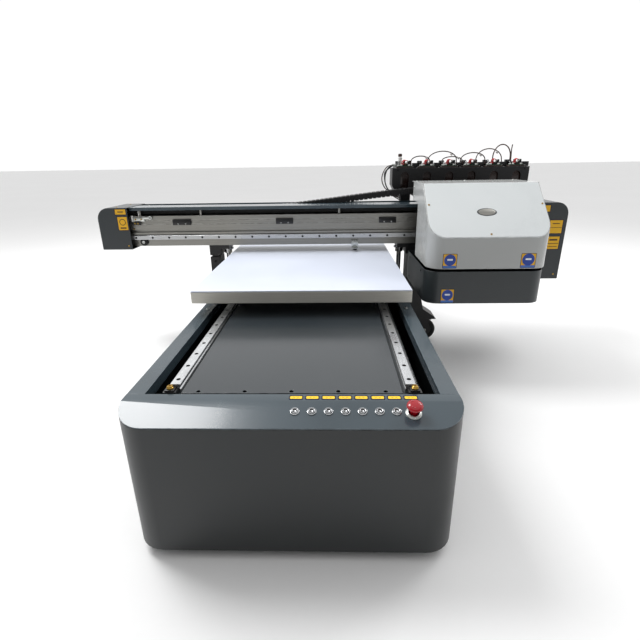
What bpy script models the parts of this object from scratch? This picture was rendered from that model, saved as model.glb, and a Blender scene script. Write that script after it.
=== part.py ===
"""Flatbed UV printer with a moving table, a lifting beam and a print carriage parked at the right.

Metres, +Z up. Inside the model X = 0 is the middle of the base, Y = 0 its front face and
Z = 0 the lower edge of its sheet-metal shell. The empty "machine" shifts all of it so that
the world origin lies on the floor, under the middle of the whole printer.
"""
import math

import bmesh
import bpy
from mathutils import Matrix, Vector

# General clearances and sheet thicknesses
GAP = 0.0003            # between pieces that touch
SLIDE_GAP = 0.0006      # around a linear rail
SHAFT_GAP = 0.0006      # radial, around a turning screw
SHEET = 0.002           # covers
SHELL_WALL = 0.003      # base shell

# Base
BASE_WIDTH = 0.628
BASE_LENGTH = 1.800
HALF_BASE = BASE_WIDTH / 2
BASE_HEIGHT = 0.3007    # shell's lower edge to the deck
BASE_CORNER = 0.058     # plan radius of the upright corners
FOOT_LIFT = 0.023
FOOT_RADIUS = 0.022
FOOT_STEM = 0.006
FOOT_INSET = 0.120      # from the base's ends
FOOT_SPREAD = HALF_BASE - 0.064     # from the middle
BOTTOM_PLATE = 0.0035   # floor of the base shell
ELECTRONICS_HALF = 0.170
ELECTRONICS_TOP = 0.120
ELECTRONICS_FRONT = BASE_LENGTH - 0.700
ELECTRONICS_REAR = BASE_LENGTH - 0.250

# Front control panel
PANEL_DEPTH = 0.0839
PANEL_SLOPE_DEPTH = 0.0598
PANEL_DROP = 0.0191
BUTTON_COUNT = 7
BUTTON_FIRST_X = 0.0108
BUTTON_PITCH = 0.0302
BUTTON_Y = 0.0355
BUTTON_HOLE = 0.008     # radius of the panel hole
BUTTON_RADIUS = 0.0062
BUTTON_PROUD = 0.0045
BUTTON_STEM = 0.014
ESTOP_X = 0.2213
ESTOP_Y = 0.0320
ESTOP_HOLE = 0.011
ESTOP_RADIUS = 0.0145
ESTOP_PROUD = 0.026
ESTOP_HEAD = 0.010

# Deck
STRIP_WIDTH = 0.0349
STRIP_LIP = 0.024
COVER_HALF = 0.2104     # half width of the centre cover plate
COVER_HOLES = 5
COVER_HOLE_PITCH = 0.0895
COVER_HOLE_RADIUS = 0.0042
COVER_HOLE_INSET = 0.0075
RAIL_END_MARGIN = 0.100
REAR_DECK = 0.0575      # length of the cover plate's wide rear end

# Table rails and girders
RAIL_X = 0.2275
RAIL_WIDTH = 0.020
RAIL_HEIGHT = 0.0175
RAIL_TOP = 0.3090
GIRDER_WEB = 0.006
GIRDER_FLANGE = 0.008
GIRDER_OUTSIDE = 0.015  # flange beyond the rail's middle line
LEDGE = 0.010           # raised strip of the flange that carries the cover plate

# Table
TABLE_WIDTH = 0.6188
TABLE_LENGTH = 0.940
TABLE_SHIFT_X = -0.0102
TABLE_FRONT = 0.5193
TABLE_TOP = 0.3743
TABLE_SKIN = 0.0037
TABLE_CORE = 0.032
TABLE_CELLS = 5
TABLE_CELL_WALL = 0.012
TABLE_CELL_SKIN = 0.004
BLOCK_LENGTH = 0.075
RUNNER_HEIGHT = 0.010   # bar that joins a side's two blocks under the table
BLOCK_HALF = 0.022
BLOCK_SPREAD = 0.260    # block centres from the table's centre
BLOCK_DROP = 0.0075     # block's lower edge below the rail's top
BLOCK_HEIGHT = 0.012    # block's shoulder above the rail's top
SPACER_HALF = 0.017
TABLE_SCREW_X = 0.261
TABLE_SCREW_Z = 0.245
TABLE_SCREW_RADIUS = 0.008
NUT_HALF = 0.014
NUT_LENGTH = 0.040
MOTOR_SIZE = 0.056
MOTOR_LENGTH = 0.072
SCREW_START = 0.120

# Lifting columns, distances from the middle of the machine. All that stands beside the base is set
# out from one line, which clears the base and the table, whichever reaches further.
TABLE_REACH = TABLE_WIDTH / 2 + abs(TABLE_SHIFT_X)
SIDE_LINE = max(HALF_BASE, TABLE_REACH - 0.0056)
COLUMN_FRONT = 1.080
COLUMN_DEPTH = 0.080
COLUMN_TOP = 0.353
COLUMN_INNER = SIDE_LINE + 0.063
COLUMN_OUTER = SIDE_LINE + 0.101
COLUMN_WALL = 0.006
COLUMN_FOOT_Z = 0.030
COLUMN_FOOT_TOP = 0.200
COLUMN_FOOT_OUTER = SIDE_LINE + 0.044
TONGUE_BOTTOM = 0.150
LIFT_SCREW_X = SIDE_LINE + 0.0345
LIFT_SCREW_RADIUS = 0.0100
LIFT_SCREW_TOP = 0.500
BRACKET_GAP = 0.007     # column top to bracket, beam at its lowest
BRACKET_INNER = LIFT_SCREW_X - LIFT_SCREW_RADIUS - SHAFT_GAP - 0.0029
BRACKET_EAR_Z = 0.385   # underside of the bracket's ear round the screw

# Outriggers and casters
CASTER_X = SIDE_LINE + 0.134
CASTER_TRAIL = 0.025
WHEEL_RADIUS = 0.045
WHEEL_WIDTH = 0.022
WHEEL_BORE = 0.0042
WHEEL_LIFT = 0.0005     # above the floor while the feet carry the printer
AXLE_Z = WHEEL_RADIUS + WHEEL_LIFT - FOOT_LIFT
AXLE_RADIUS = 0.0038
ARM_END = SIDE_LINE + 0.192
ARM_UNDER = AXLE_Z + WHEEL_RADIUS + 0.0145
ARM_TIP = 0.008
GUSSET_FOOT = (SIDE_LINE + 0.141, ARM_UNDER + 0.043)
GUSSET_TOP = 0.300
FORK_SHEET = 0.003
FORK_GAP = 0.0015
FORK_HALF = 0.024
FORK_CROWN = 0.002      # between the tyre and the fork's top plate
FORK_EYE = 0.009        # half width of a cheek at the axle
FORK_SHOULDER = 0.018   # from the axle to the cheek's outer edge
PEDAL_ROOT = 0.024      # from the axle
PEDAL_REACH = 0.080
PEDAL_HALF = 0.011
PEDAL_DROP = 0.008
PEDAL_SHEET = 0.004

# Beam
BEAM_LEFT = -0.790
BEAM_RIGHT = 0.800
BEAM_FRONT = 1.0688
BEAM_DEPTH = 0.1212
BEAM_BOTTOM = 0.4012
BEAM_TOP = 0.5188
BEAM_RECESS = 0.0072    # lower face behind the upper one
BEAM_WALL = 0.004
SLOT_Z = (0.4553, 0.4653)
SLOT_DEPTH = 0.010
V_GROOVES = (0.4863, 0.5016)
V_SIZE = 0.0012
CAVITY_FRONT = 0.018
BEAM_RAIL_Z = 0.43565
BEAM_RAIL_WIDTH = 0.0157
BEAM_RAIL_DEPTH = 0.013
BEAM_RAIL_LEFT = -0.722
BEAM_RAIL_HOLE = 0.003
BEAM_RAIL_PITCH = 0.066
BEAM_RAIL_MARGIN = 0.024
COVER_TOP = 0.552
COVER_LIP = 0.0124
COVER_FRONT = 1.066
COVER_BACK = 1.150      # where the cover steps down into the chain trough
TROUGH_REAR = 1.215
CAP_FRONT = 1.045
CAP_REAR = 1.222
CAP_TOP = 0.5535
CAP_CORNER = 0.045
LEFT_CAP = (-0.829, -0.7105, 0.393)
RIGHT_CAP = (0.8003, 0.963, 0.2615)

# Carriage belt drive, inside the beam's top recess
PULLEY_RADIUS = 0.0150
PULLEY_Y = 1.1085
PULLEY_Z = 0.5215
PULLEY_HEIGHT = 0.016
LEFT_PULLEY_X = -0.745
RIGHT_PULLEY_X = 0.8585
BELT_THICKNESS = 0.0016
BELT_WIDTH = 0.012
CARRIAGE_MOTOR_HEIGHT = 0.090

# Carriage
CARRIAGE_LEFT = 0.378
CARRIAGE_RIGHT = 0.755
CARRIAGE_FRONT = 0.705
CARRIAGE_BOTTOM = 0.386
CARRIAGE_LID_FOOT = 0.486
CARRIAGE_LID_HEAD = (0.865, 0.636)
CARRIAGE_BACK_LOW = 0.930
CARRIAGE_BACK_HIGH = 1.033
CARRIAGE_STEP_Z = 0.570
CARRIAGE_TOP_BACK = 1.062
CARRIAGE_CORNER = 0.050
LID_SHEET = 0.0025
LID_MARGIN = 0.003
SLIDER = (0.44, 0.70)
SLIDER_FRONT = 1.048
SLIDER_HALF = 0.0157
BACK_PLATE = (0.400, 0.735)
BACK_PLATE_FRONT = 1.0365
ARM_Z = 0.5745
ARM_SHEET = 0.006
ARM_REAR = 1.205
HEAD_BLOCK = ((0.440, 0.830, 0.392), (0.620, 0.500))
LAMP = ((0.655, 0.850, 0.394), (0.725, 0.470))

# Capping station under the parked carriage
STATION_LEFT = SIDE_LINE + 0.062
STATION_RIGHT = 0.7530
STATION_FRONT = 0.712
STATION_REAR = 1.170
STATION_BOTTOM = 0.270
STATION_TOP = 0.376
STATION_CORNER = 0.046
STATION_NECK = COLUMN_OUTER + 0.015     # left edge of the part that reaches under the beam
CAP_TRAY = ((0.450, 0.840, 0.335), (0.612, 0.995, 0.3735))

# Ink tanks behind the beam
TANK_BOX = ((0.323, 1.222, 0.586), (0.870, 1.300, 0.6785))
TANK_COUNT = 6
TANK_FIRST_X = 0.374
TANK_PITCH = 0.0895
TANK_CHAMFER = 0.014
WINDOW_HALF = 0.0165
WINDOW_BOTTOM = 0.602
WINDOW_TOP = 0.663
TANK_HALF = 0.034
TANK_TOP = 0.685
TANK_CAP_HALF = 0.013
TANK_CAP_TOP = 0.7095
TANK_LEGS = (0.380, 0.760)
TANK_LEG_HALF = 0.020
TANK_LEG_DEPTH = 0.038
TANK_LEG_Z = (0.430, 0.512)
TUBE_RADIUS = 0.0040
TUBE_RISE = 0.0450
TUBE_COLLAR = 0.0060     # straight length at each end

# Cable chain
CHAIN_FIXED_X = -0.160
CHAIN_TAIL = 0.060
CHAIN_END_X = 0.470
CHAIN_HEIGHT = 0.024
CHAIN_Y = (1.158, 1.205)

# Derived places
DECK_UNDER = BASE_HEIGHT - SHEET
SHELL_TOP = DECK_UNDER - GAP
PANEL_ANGLE = math.atan2(PANEL_DROP, PANEL_SLOPE_DEPTH)
RAIL_BOTTOM = RAIL_TOP - RAIL_HEIGHT
GIRDER_TOP = RAIL_BOTTOM - GAP
FLOOR_Z = BOTTOM_PLATE + GAP
RAIL_END = BASE_LENGTH - RAIL_END_MARGIN
TABLE_LEFT = TABLE_SHIFT_X - TABLE_WIDTH / 2
TABLE_RIGHT = TABLE_SHIFT_X + TABLE_WIDTH / 2
TABLE_REAR = TABLE_FRONT + TABLE_LENGTH
TABLE_MIDDLE = (TABLE_FRONT + TABLE_REAR) / 2
CORE_TOP = TABLE_TOP - TABLE_SKIN - GAP
CORE_BOTTOM = CORE_TOP - TABLE_CORE
BRACKET_BOTTOM = COLUMN_TOP + BRACKET_GAP
BRACKET_TOP = BEAM_BOTTOM - GAP
COLUMN_REAR = COLUMN_FRONT + COLUMN_DEPTH
COLUMN_MIDDLE = COLUMN_FRONT + COLUMN_DEPTH / 2
BEAM_REAR = BEAM_FRONT + BEAM_DEPTH
ROUND = 24


def arc(centre, radius, start, end, steps):
    """Points on an arc, angles in degrees."""
    points = []
    for i in range(steps + 1):
        angle = math.radians(start + (end - start) * i / steps)
        points.append((centre[0] + radius * math.cos(angle), centre[1] + radius * math.sin(angle)))
    return points


def rounded_plan(left, front, right, rear, front_radius, rear_radius=0.0, steps=8):
    """Rectangle in plan with rounded front and, if asked, rear corners."""
    outline = arc((left + front_radius, front + front_radius), front_radius, 180, 270, steps)
    outline += arc((right - front_radius, front + front_radius), front_radius, 270, 360, steps)
    if rear_radius:
        outline += arc((right - rear_radius, rear - rear_radius), rear_radius, 0, 90, steps)
        outline += arc((left + rear_radius, rear - rear_radius), rear_radius, 90, 180, steps)
    else:
        outline += [(right, rear), (left, rear)]
    return outline


def clear_scene():
    for obj in list(bpy.data.objects):
        bpy.data.objects.remove(obj, do_unlink=True)


def material(name, colour, roughness, metallic=0.0):
    made = bpy.data.materials.new(name)
    made.use_nodes = True
    shader = made.node_tree.nodes["Principled BSDF"]
    shader.inputs["Base Color"].default_value = (*colour, 1.0)
    shader.inputs["Roughness"].default_value = roughness
    shader.inputs["Metallic"].default_value = metallic
    return made


def make_materials():
    return {
        "slate paint": material("slate paint", (0.045, 0.055, 0.062), 0.35),
        "deck paint": material("deck paint", (0.085, 0.105, 0.120), 0.30),
        "black paint": material("black paint", (0.016, 0.016, 0.017), 0.45),
        "white paint": material("white paint", (0.74, 0.76, 0.77), 0.30),
        "white skin": material("white skin", (0.86, 0.88, 0.92), 0.25),
        "anodised": material("anodised", (0.42, 0.42, 0.40), 0.38, 1.0),
        "steel": material("steel", (0.60, 0.61, 0.62), 0.22, 1.0),
        "chrome": material("chrome", (0.80, 0.80, 0.81), 0.08, 1.0),
        "plastic": material("black plastic", (0.012, 0.012, 0.013), 0.50),
        "rubber": material("rubber", (0.020, 0.020, 0.020), 0.80),
        "ink": material("smoked plastic", (0.030, 0.018, 0.014), 0.25),
        "red": material("red plastic", (0.60, 0.010, 0.025), 0.20),
    }


def make_bodies():
    """One empty per moving body, on its joint's axis; "machine" carries them all."""
    machine = bpy.data.objects.new("machine", None)
    bpy.context.collection.objects.link(machine)
    middle = (LEFT_CAP[0] + RIGHT_CAP[1]) / 2
    machine.location = (-middle, -BASE_LENGTH / 2, FOOT_LIFT)
    places = {
        "base": (0.0, 0.0, 0.0),
        "table": (TABLE_SHIFT_X, TABLE_MIDDLE, CORE_BOTTOM),
        "beam": (0.0, BEAM_FRONT, BEAM_BOTTOM),
        "carriage": ((CARRIAGE_LEFT + CARRIAGE_RIGHT) / 2, BEAM_FRONT, BEAM_RAIL_Z),
        "cap_lift": (CAP_TRAY[0][0], CAP_TRAY[0][1], CAP_TRAY[0][2]),
        "fork_left": (-CASTER_X, COLUMN_MIDDLE, ARM_UNDER),
        "fork_right": (CASTER_X, COLUMN_MIDDLE, ARM_UNDER),
    }
    bodies = {"machine": (machine, Vector((0.0, 0.0, 0.0)))}
    for name, place in places.items():
        empty = bpy.data.objects.new("body_" + name, None)
        bpy.context.collection.objects.link(empty)
        empty.parent = machine
        empty.location = place
        bodies[name] = (empty, Vector(place))
    return bodies


def add_mesh(name, bm, smooth=False):
    bmesh.ops.recalc_face_normals(bm, faces=bm.faces)
    mesh = bpy.data.meshes.new(name)
    bm.to_mesh(mesh)
    bm.free()
    if smooth:
        mesh.shade_smooth()
        mesh.set_sharp_from_angle(angle=math.radians(35))
    obj = bpy.data.objects.new(name, mesh)
    bpy.context.collection.objects.link(obj)
    return obj


def fit_out(obj, body, at, finish):
    """Put a piece in its body at a place given in machine coordinates."""
    parent, origin = BODIES[body]
    obj.parent = parent
    obj.location = Vector(at) - origin
    obj.data.materials.append(FINISHES[finish])
    return obj


def box_mesh(low, high, at):
    bm = bmesh.new()
    bmesh.ops.create_cube(bm, size=1.0)
    size = [h - l for l, h in zip(low, high)]
    middle = [(l + h) / 2 - a for l, h, a in zip(low, high, at)]
    bmesh.ops.scale(bm, vec=size, verts=bm.verts)
    bmesh.ops.translate(bm, vec=middle, verts=bm.verts)
    return bm


def prism_mesh(outline, axis, start, end, at=(0.0, 0.0, 0.0)):
    """Outline extruded along X (points are Y, Z), Y (X, Z) or Z (X, Y)."""
    bm = bmesh.new()
    rings = []
    for along in (start, end):
        ring = []
        for u, v in outline:
            place = {"X": (along, u, v), "Y": (u, along, v), "Z": (u, v, along)}[axis]
            ring.append(bm.verts.new(Vector(place) - Vector(at)))
        rings.append(ring)
    bm.faces.new(rings[0])
    bm.faces.new(rings[1][::-1])
    count = len(outline)
    for i in range(count):
        j = (i + 1) % count
        bm.faces.new((rings[0][i], rings[1][i], rings[1][j], rings[0][j]))
    return bm


def turned_mesh(profile, axis="Z", segments=ROUND):
    """Closed profile of (radius, height) points turned about an axis through the origin."""
    bm = bmesh.new()
    rings = []
    for radius, height in profile:
        if radius == 0.0:
            rings.append([bm.verts.new((0.0, 0.0, height))])
            continue
        ring = []
        for i in range(segments):
            angle = 2 * math.pi * i / segments
            ring.append(bm.verts.new((radius * math.cos(angle), radius * math.sin(angle), height)))
        rings.append(ring)
    for lower, upper in zip(rings, rings[1:]):
        for i in range(segments):
            j = (i + 1) % segments
            if len(lower) == 1:
                bm.faces.new((lower[0], upper[j], upper[i]))
            elif len(upper) == 1:
                bm.faces.new((lower[i], lower[j], upper[0]))
            else:
                bm.faces.new((lower[i], lower[j], upper[j], upper[i]))
    turn = {"X": Matrix.Rotation(math.pi / 2, 3, "Y"), "Y": Matrix.Rotation(-math.pi / 2, 3, "X")}
    if axis in turn:
        bmesh.ops.rotate(bm, cent=(0, 0, 0), matrix=turn[axis], verts=bm.verts)
    return bm


def box_piece(name, body, low, high, finish, at=None):
    at = at or low
    return fit_out(add_mesh(name, box_mesh(low, high, at)), body, at, finish)


def prism_piece(name, body, outline, axis, start, end, finish, at=(0.0, 0.0, 0.0)):
    return fit_out(add_mesh(name, prism_mesh(outline, axis, start, end, at)), body, at, finish)


def turned_piece(name, body, profile, at, finish, axis="Z"):
    return fit_out(add_mesh(name, turned_mesh(profile, axis), smooth=True), body, at, finish)


def tool_box(low, high):
    return as_tool(add_mesh("tool", box_mesh(low, high, (0.0, 0.0, 0.0))))


def tool_prism(outline, axis, start, end):
    return as_tool(add_mesh("tool", prism_mesh(outline, axis, start, end)))


def tool_drill(centre, radius, start, end, tilt=0.0):
    """Round tool along Z, leaning back by the tilt, from start to end about its centre."""
    profile = [(0.0, start), (radius, start), (radius, end), (0.0, end)]
    tool = as_tool(add_mesh("tool", turned_mesh(profile)))
    tool.location = centre
    tool.rotation_euler = (tilt, 0.0, 0.0)
    return tool


def as_tool(obj):
    obj.parent = BODIES["machine"][0]
    obj.hide_render = True
    obj.display_type = "WIRE"
    return obj


def combine(obj, tool, operation="DIFFERENCE"):
    boolean = obj.modifiers.new(operation.lower(), "BOOLEAN")
    boolean.operation = operation
    boolean.solver = "EXACT"
    boolean.object = tool


def mirrored(points, sign):
    return [(sign * u, v) for u, v in points]


def panel_profile(top_offset, thickness, rear):
    """Side outline (Y, Z) of a sheet that follows the sloped front and the flat deck."""
    top = BASE_HEIGHT - top_offset
    line = [(-0.001, top - PANEL_DROP - 0.001 * math.tan(PANEL_ANGLE)), (PANEL_SLOPE_DEPTH, top), (rear, top)]
    return line + [(y, z - thickness) for y, z in reversed(line)]


def panel_point(y):
    """Height of the panel's outer surface at a depth on the slope."""
    return BASE_HEIGHT - PANEL_DROP * (1 - y / PANEL_SLOPE_DEPTH)


def build_shell():
    outer = rounded_plan(-HALF_BASE, 0.0, HALF_BASE, BASE_LENGTH, BASE_CORNER, BASE_CORNER)
    side, turn = HALF_BASE - SHELL_WALL, BASE_CORNER - SHELL_WALL
    inner = rounded_plan(-side, SHELL_WALL, side, BASE_LENGTH - SHELL_WALL, turn, turn)
    shell = prism_piece("base_shell", "base", outer, "Z", 0.0, SHELL_TOP, "slate paint")
    combine(shell, tool_prism(inner, "Z", BOTTOM_PLATE, SHELL_TOP + 0.01))
    above = panel_profile(SHEET + GAP, 0.0, PANEL_DEPTH + 0.01)[:3]
    wedge = [(-0.01, above[0][1] - 0.003)] + above[1:] + [(PANEL_DEPTH + 0.01, 0.35), (-0.01, 0.35)]
    combine(shell, tool_prism(wedge, "X", -HALF_BASE - 0.01, HALF_BASE + 0.01))
    box_piece("electronics_box", "base", (-ELECTRONICS_HALF, ELECTRONICS_FRONT, FLOOR_Z),
              (ELECTRONICS_HALF, ELECTRONICS_REAR, ELECTRONICS_TOP), "white paint")


def build_feet():
    pad, floor, stem = FOOT_RADIUS, -FOOT_LIFT, FOOT_STEM
    profile = [(0.0, floor), (pad - 0.002, floor), (pad, floor + 0.002), (pad, floor + 0.009),
               (pad - 0.004, floor + 0.012), (stem, floor + 0.012), (stem, -GAP), (0.0, -GAP)]
    for row, y in (("front", FOOT_INSET), ("rear", BASE_LENGTH - FOOT_INSET)):
        for side, x in (("left", -FOOT_SPREAD), ("right", FOOT_SPREAD)):
            turned_piece(f"foot_{row}_{side}", "base", profile, (x, y, 0.0), "rubber")


def build_panel():
    profile = panel_profile(0.0, SHEET, PANEL_DEPTH - GAP)
    side = HALF_BASE + 0.01
    panel = prism_piece("front_control_panel", "base", profile, "X", -side, side, "deck paint")
    plan = rounded_plan(-HALF_BASE, 0.0, HALF_BASE, PANEL_DEPTH + 0.05, BASE_CORNER)
    combine(panel, tool_prism(plan, "Z", 0.2, 0.4), "INTERSECT")
    holes = [(BUTTON_FIRST_X + i * BUTTON_PITCH, BUTTON_Y, BUTTON_HOLE) for i in range(BUTTON_COUNT)]
    for x, y, radius in holes + [(ESTOP_X, ESTOP_Y, ESTOP_HOLE)]:
        combine(panel, tool_drill((x, y, panel_point(y)), radius, -0.02, 0.02, PANEL_ANGLE))


def build_buttons():
    rim = BUTTON_RADIUS
    profile = [(0.0, -BUTTON_STEM), (rim, -BUTTON_STEM), (rim, BUTTON_PROUD - 0.001),
               (rim - 0.001, BUTTON_PROUD), (0.0, BUTTON_PROUD)]
    for i in range(BUTTON_COUNT):
        at = (BUTTON_FIRST_X + i * BUTTON_PITCH, BUTTON_Y, panel_point(BUTTON_Y))
        button = turned_piece(f"button_{i + 1}", "base", profile, at, "chrome")
        button.rotation_euler = (PANEL_ANGLE, 0.0, 0.0)
    neck = 0.5 * ESTOP_RADIUS
    head = ESTOP_PROUD - ESTOP_HEAD
    mushroom = [(0.0, -0.020), (neck, -0.020), (neck, head), (ESTOP_RADIUS - 0.003, head),
                (ESTOP_RADIUS, head + 0.003), (ESTOP_RADIUS - 0.0008, head + 0.006),
                (ESTOP_RADIUS - 0.005, ESTOP_PROUD - 0.0012), (0.0, ESTOP_PROUD)]
    estop = turned_piece("estop_button", "base", mushroom, (ESTOP_X, ESTOP_Y, panel_point(ESTOP_Y)), "red")
    estop.rotation_euler = (PANEL_ANGLE, 0.0, 0.0)


def build_deck():
    strip_end = BASE_LENGTH - REAR_DECK - GAP
    for side, sign in (("left", -1), ("right", 1)):
        edge, inner = sign * HALF_BASE, sign * (HALF_BASE - STRIP_WIDTH)
        fold, lip = inner + sign * SHEET, BASE_HEIGHT - STRIP_LIP
        outline = [(edge, DECK_UNDER), (edge, BASE_HEIGHT), (inner, BASE_HEIGHT), (inner, lip), (fold, lip),
                   (fold, DECK_UNDER)]
        prism_piece(f"side_strip_{side}", "base", outline, "Y", PANEL_DEPTH, strip_end, "deck paint")
    front = PANEL_DEPTH + 0.003
    rear = BASE_LENGTH - REAR_DECK
    corner = REAR_DECK - 0.0005
    outline = [(-COVER_HALF, front), (COVER_HALF, front), (COVER_HALF, rear), (HALF_BASE, rear)]
    outline += arc((HALF_BASE - corner, BASE_LENGTH - corner), corner, 0, 90, 8)
    outline += arc((-HALF_BASE + corner, BASE_LENGTH - corner), corner, 90, 180, 8)
    outline += [(-HALF_BASE, rear), (-COVER_HALF, rear)]
    plate = prism_piece("centre_cover_plate", "base", outline, "Z", DECK_UNDER, BASE_HEIGHT, "deck paint")
    first = -COVER_HOLE_PITCH * (COVER_HOLES - 1) / 2
    for i in range(COVER_HOLES):
        centre = (first + i * COVER_HOLE_PITCH, front + COVER_HOLE_INSET, BASE_HEIGHT)
        combine(plate, tool_drill(centre, COVER_HOLE_RADIUS, -0.01, 0.01))


def rail_outline(width, height, x, z):
    """Section of a linear rail with its waist, standing on z."""
    half = width / 2
    waist = half - 0.1 * width
    right = [(half, 0.0), (half, 0.37 * height), (waist, 0.48 * height), (waist, 0.62 * height),
             (half, 0.75 * height), (half, height)]
    return [(x + u, z + v) for u, v in right] + [(x - u, z + v) for u, v in reversed(right)]


def build_rails():
    for side, sign in (("left", -1), ("right", 1)):
        outline = rail_outline(RAIL_WIDTH, RAIL_HEIGHT, sign * RAIL_X, RAIL_BOTTOM)
        prism_piece(f"table_rail_{side}", "base", outline, "Y", RAIL_END_MARGIN + 0.007, RAIL_END, "steel")
        outside = RAIL_X + GIRDER_OUTSIDE
        inside = COVER_HALF - LEDGE
        web = RAIL_X - GIRDER_OUTSIDE
        ledge, flange = DECK_UNDER - GAP, GIRDER_TOP - GIRDER_FLANGE
        profile = [(inside, ledge), (COVER_HALF - GAP, ledge), (COVER_HALF - GAP, GIRDER_TOP),
                   (outside, GIRDER_TOP), (outside, flange), (web + GIRDER_WEB, flange),
                   (web + GIRDER_WEB, FLOOR_Z), (web, FLOOR_Z), (web, flange), (inside, flange)]
        prism_piece(f"rail_girder_{side}", "base", mirrored(profile, sign), "Y", RAIL_END_MARGIN,
                    RAIL_END + 0.010, "slate paint")


def build_table():
    low, high = (TABLE_LEFT, TABLE_FRONT, CORE_BOTTOM), (TABLE_RIGHT, TABLE_REAR, CORE_TOP)
    core = box_piece("table_core", "table", low, high, "anodised")
    cell = (TABLE_WIDTH - TABLE_CELL_WALL) / TABLE_CELLS
    for i in range(TABLE_CELLS):
        left = TABLE_LEFT + TABLE_CELL_WALL + i * cell
        right = left + cell - TABLE_CELL_WALL
        combine(core, tool_box((left, TABLE_FRONT + TABLE_CELL_WALL, CORE_BOTTOM + TABLE_CELL_SKIN),
                               (right, TABLE_REAR + 0.01, CORE_TOP - TABLE_CELL_SKIN)))
    low, high = (TABLE_LEFT, TABLE_FRONT, CORE_TOP + GAP), (TABLE_RIGHT, TABLE_REAR, TABLE_TOP)
    box_piece("table_top", "table", low, high, "white skin")
    inner = RAIL_WIDTH / 2 + SLIDE_GAP
    low_z, roof = RAIL_TOP - BLOCK_DROP, RAIL_TOP + SLIDE_GAP
    shoulder, top = RAIL_TOP + BLOCK_HEIGHT, CORE_BOTTOM - GAP
    half = [(inner, roof), (inner, low_z), (BLOCK_HALF, low_z), (BLOCK_HALF, shoulder),
            (SPACER_HALF, shoulder), (SPACER_HALF, top)]
    reach = BLOCK_SPREAD + BLOCK_LENGTH / 2
    for side, x in (("left", -RAIL_X), ("right", RAIL_X)):
        outline = [(x + u, v) for u, v in half] + [(x - u, v) for u, v in reversed(half)]
        runner = prism_piece(f"table_runner_{side}", "table", outline, "Y", TABLE_MIDDLE - reach,
                             TABLE_MIDDLE + reach, "steel")
        inside = reach - BLOCK_LENGTH
        combine(runner, tool_box((x - 0.03, TABLE_MIDDLE - inside, low_z - 0.01),
                                 (x + 0.03, TABLE_MIDDLE + inside, top - RUNNER_HEIGHT)))


def build_table_drive():
    at = (TABLE_SCREW_X, SCREW_START, TABLE_SCREW_Z)
    motor_front = RAIL_END - 0.040
    length = motor_front - GAP - SCREW_START
    profile = [(0.0, 0.0), (TABLE_SCREW_RADIUS, 0.0), (TABLE_SCREW_RADIUS, length), (0.0, length)]
    turned_piece("table_screw", "base", profile, at, "steel", axis="Y")
    half = MOTOR_SIZE / 2
    box_piece("table_motor", "base", (TABLE_SCREW_X - half, motor_front, TABLE_SCREW_Z - half),
              (TABLE_SCREW_X + half, motor_front + MOTOR_LENGTH, TABLE_SCREW_Z + half), "plastic")
    low = (TABLE_SCREW_X - NUT_HALF, TABLE_MIDDLE - NUT_LENGTH / 2, TABLE_SCREW_Z - NUT_HALF)
    high = (TABLE_SCREW_X + NUT_HALF, TABLE_MIDDLE + NUT_LENGTH / 2, CORE_BOTTOM - GAP)
    nut = box_piece("table_nut_bracket", "table", low, high, "steel")
    bore = TABLE_SCREW_RADIUS + SHAFT_GAP
    middle = (TABLE_SCREW_X, TABLE_MIDDLE, TABLE_SCREW_Z)
    combine(nut, tool_drill(middle, bore, -NUT_LENGTH, NUT_LENGTH, -math.pi / 2))


def build_column(side, sign):
    """Fixed hollow column with its foot against the base and its outrigger over the caster."""
    wall = HALF_BASE + GAP
    outline = [(wall, COLUMN_FOOT_Z), (COLUMN_FOOT_OUTER, COLUMN_FOOT_Z), (COLUMN_FOOT_OUTER, ARM_UNDER),
               (ARM_END, ARM_UNDER), (ARM_END, ARM_UNDER + ARM_TIP), GUSSET_FOOT, (COLUMN_OUTER, GUSSET_TOP),
               (COLUMN_OUTER, COLUMN_TOP), (COLUMN_INNER, COLUMN_TOP), (COLUMN_INNER, COLUMN_FOOT_TOP),
               (wall, COLUMN_FOOT_TOP)]
    post = prism_piece(f"lift_column_{side}", "base", mirrored(outline, sign), "Y", COLUMN_FRONT, COLUMN_REAR,
                       "black paint")
    inner, outer = COLUMN_INNER + COLUMN_WALL, COLUMN_OUTER - COLUMN_WALL
    front, rear = COLUMN_FRONT + COLUMN_WALL, COLUMN_REAR - COLUMN_WALL
    left, right = sorted((sign * inner, sign * outer))
    combine(post, tool_box((left, front, TONGUE_BOTTOM - 0.010), (right, rear, COLUMN_TOP + 0.01)))
    at = (sign * LIFT_SCREW_X, COLUMN_MIDDLE, COLUMN_FOOT_TOP + GAP)
    height = LIFT_SCREW_TOP - COLUMN_FOOT_TOP - GAP
    profile = [(0.0, 0.0), (LIFT_SCREW_RADIUS, 0.0), (LIFT_SCREW_RADIUS, height), (0.0, height)]
    turned_piece(f"lift_screw_{side}", "base", profile, at, "steel")
    outline = [(COLUMN_OUTER, BRACKET_BOTTOM), (COLUMN_OUTER, BRACKET_TOP), (BRACKET_INNER, BRACKET_TOP),
               (BRACKET_INNER, BRACKET_EAR_Z), (COLUMN_INNER - 0.007, BRACKET_EAR_Z),
               (COLUMN_INNER - 0.007, BRACKET_BOTTOM)]
    bracket = prism_piece(f"beam_bracket_{side}", "beam", mirrored(outline, sign), "Y", COLUMN_FRONT,
                          COLUMN_REAR, "black paint")
    tongue = tool_box((left + SLIDE_GAP, front + SLIDE_GAP, TONGUE_BOTTOM),
                      (right - SLIDE_GAP, rear - SLIDE_GAP, BRACKET_TOP - 0.01))
    combine(bracket, tongue, "UNION")
    bore = LIFT_SCREW_RADIUS + SHAFT_GAP
    combine(bracket, tool_drill((at[0], at[1], 0.0), bore, BRACKET_BOTTOM, BRACKET_TOP + 0.01))


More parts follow.
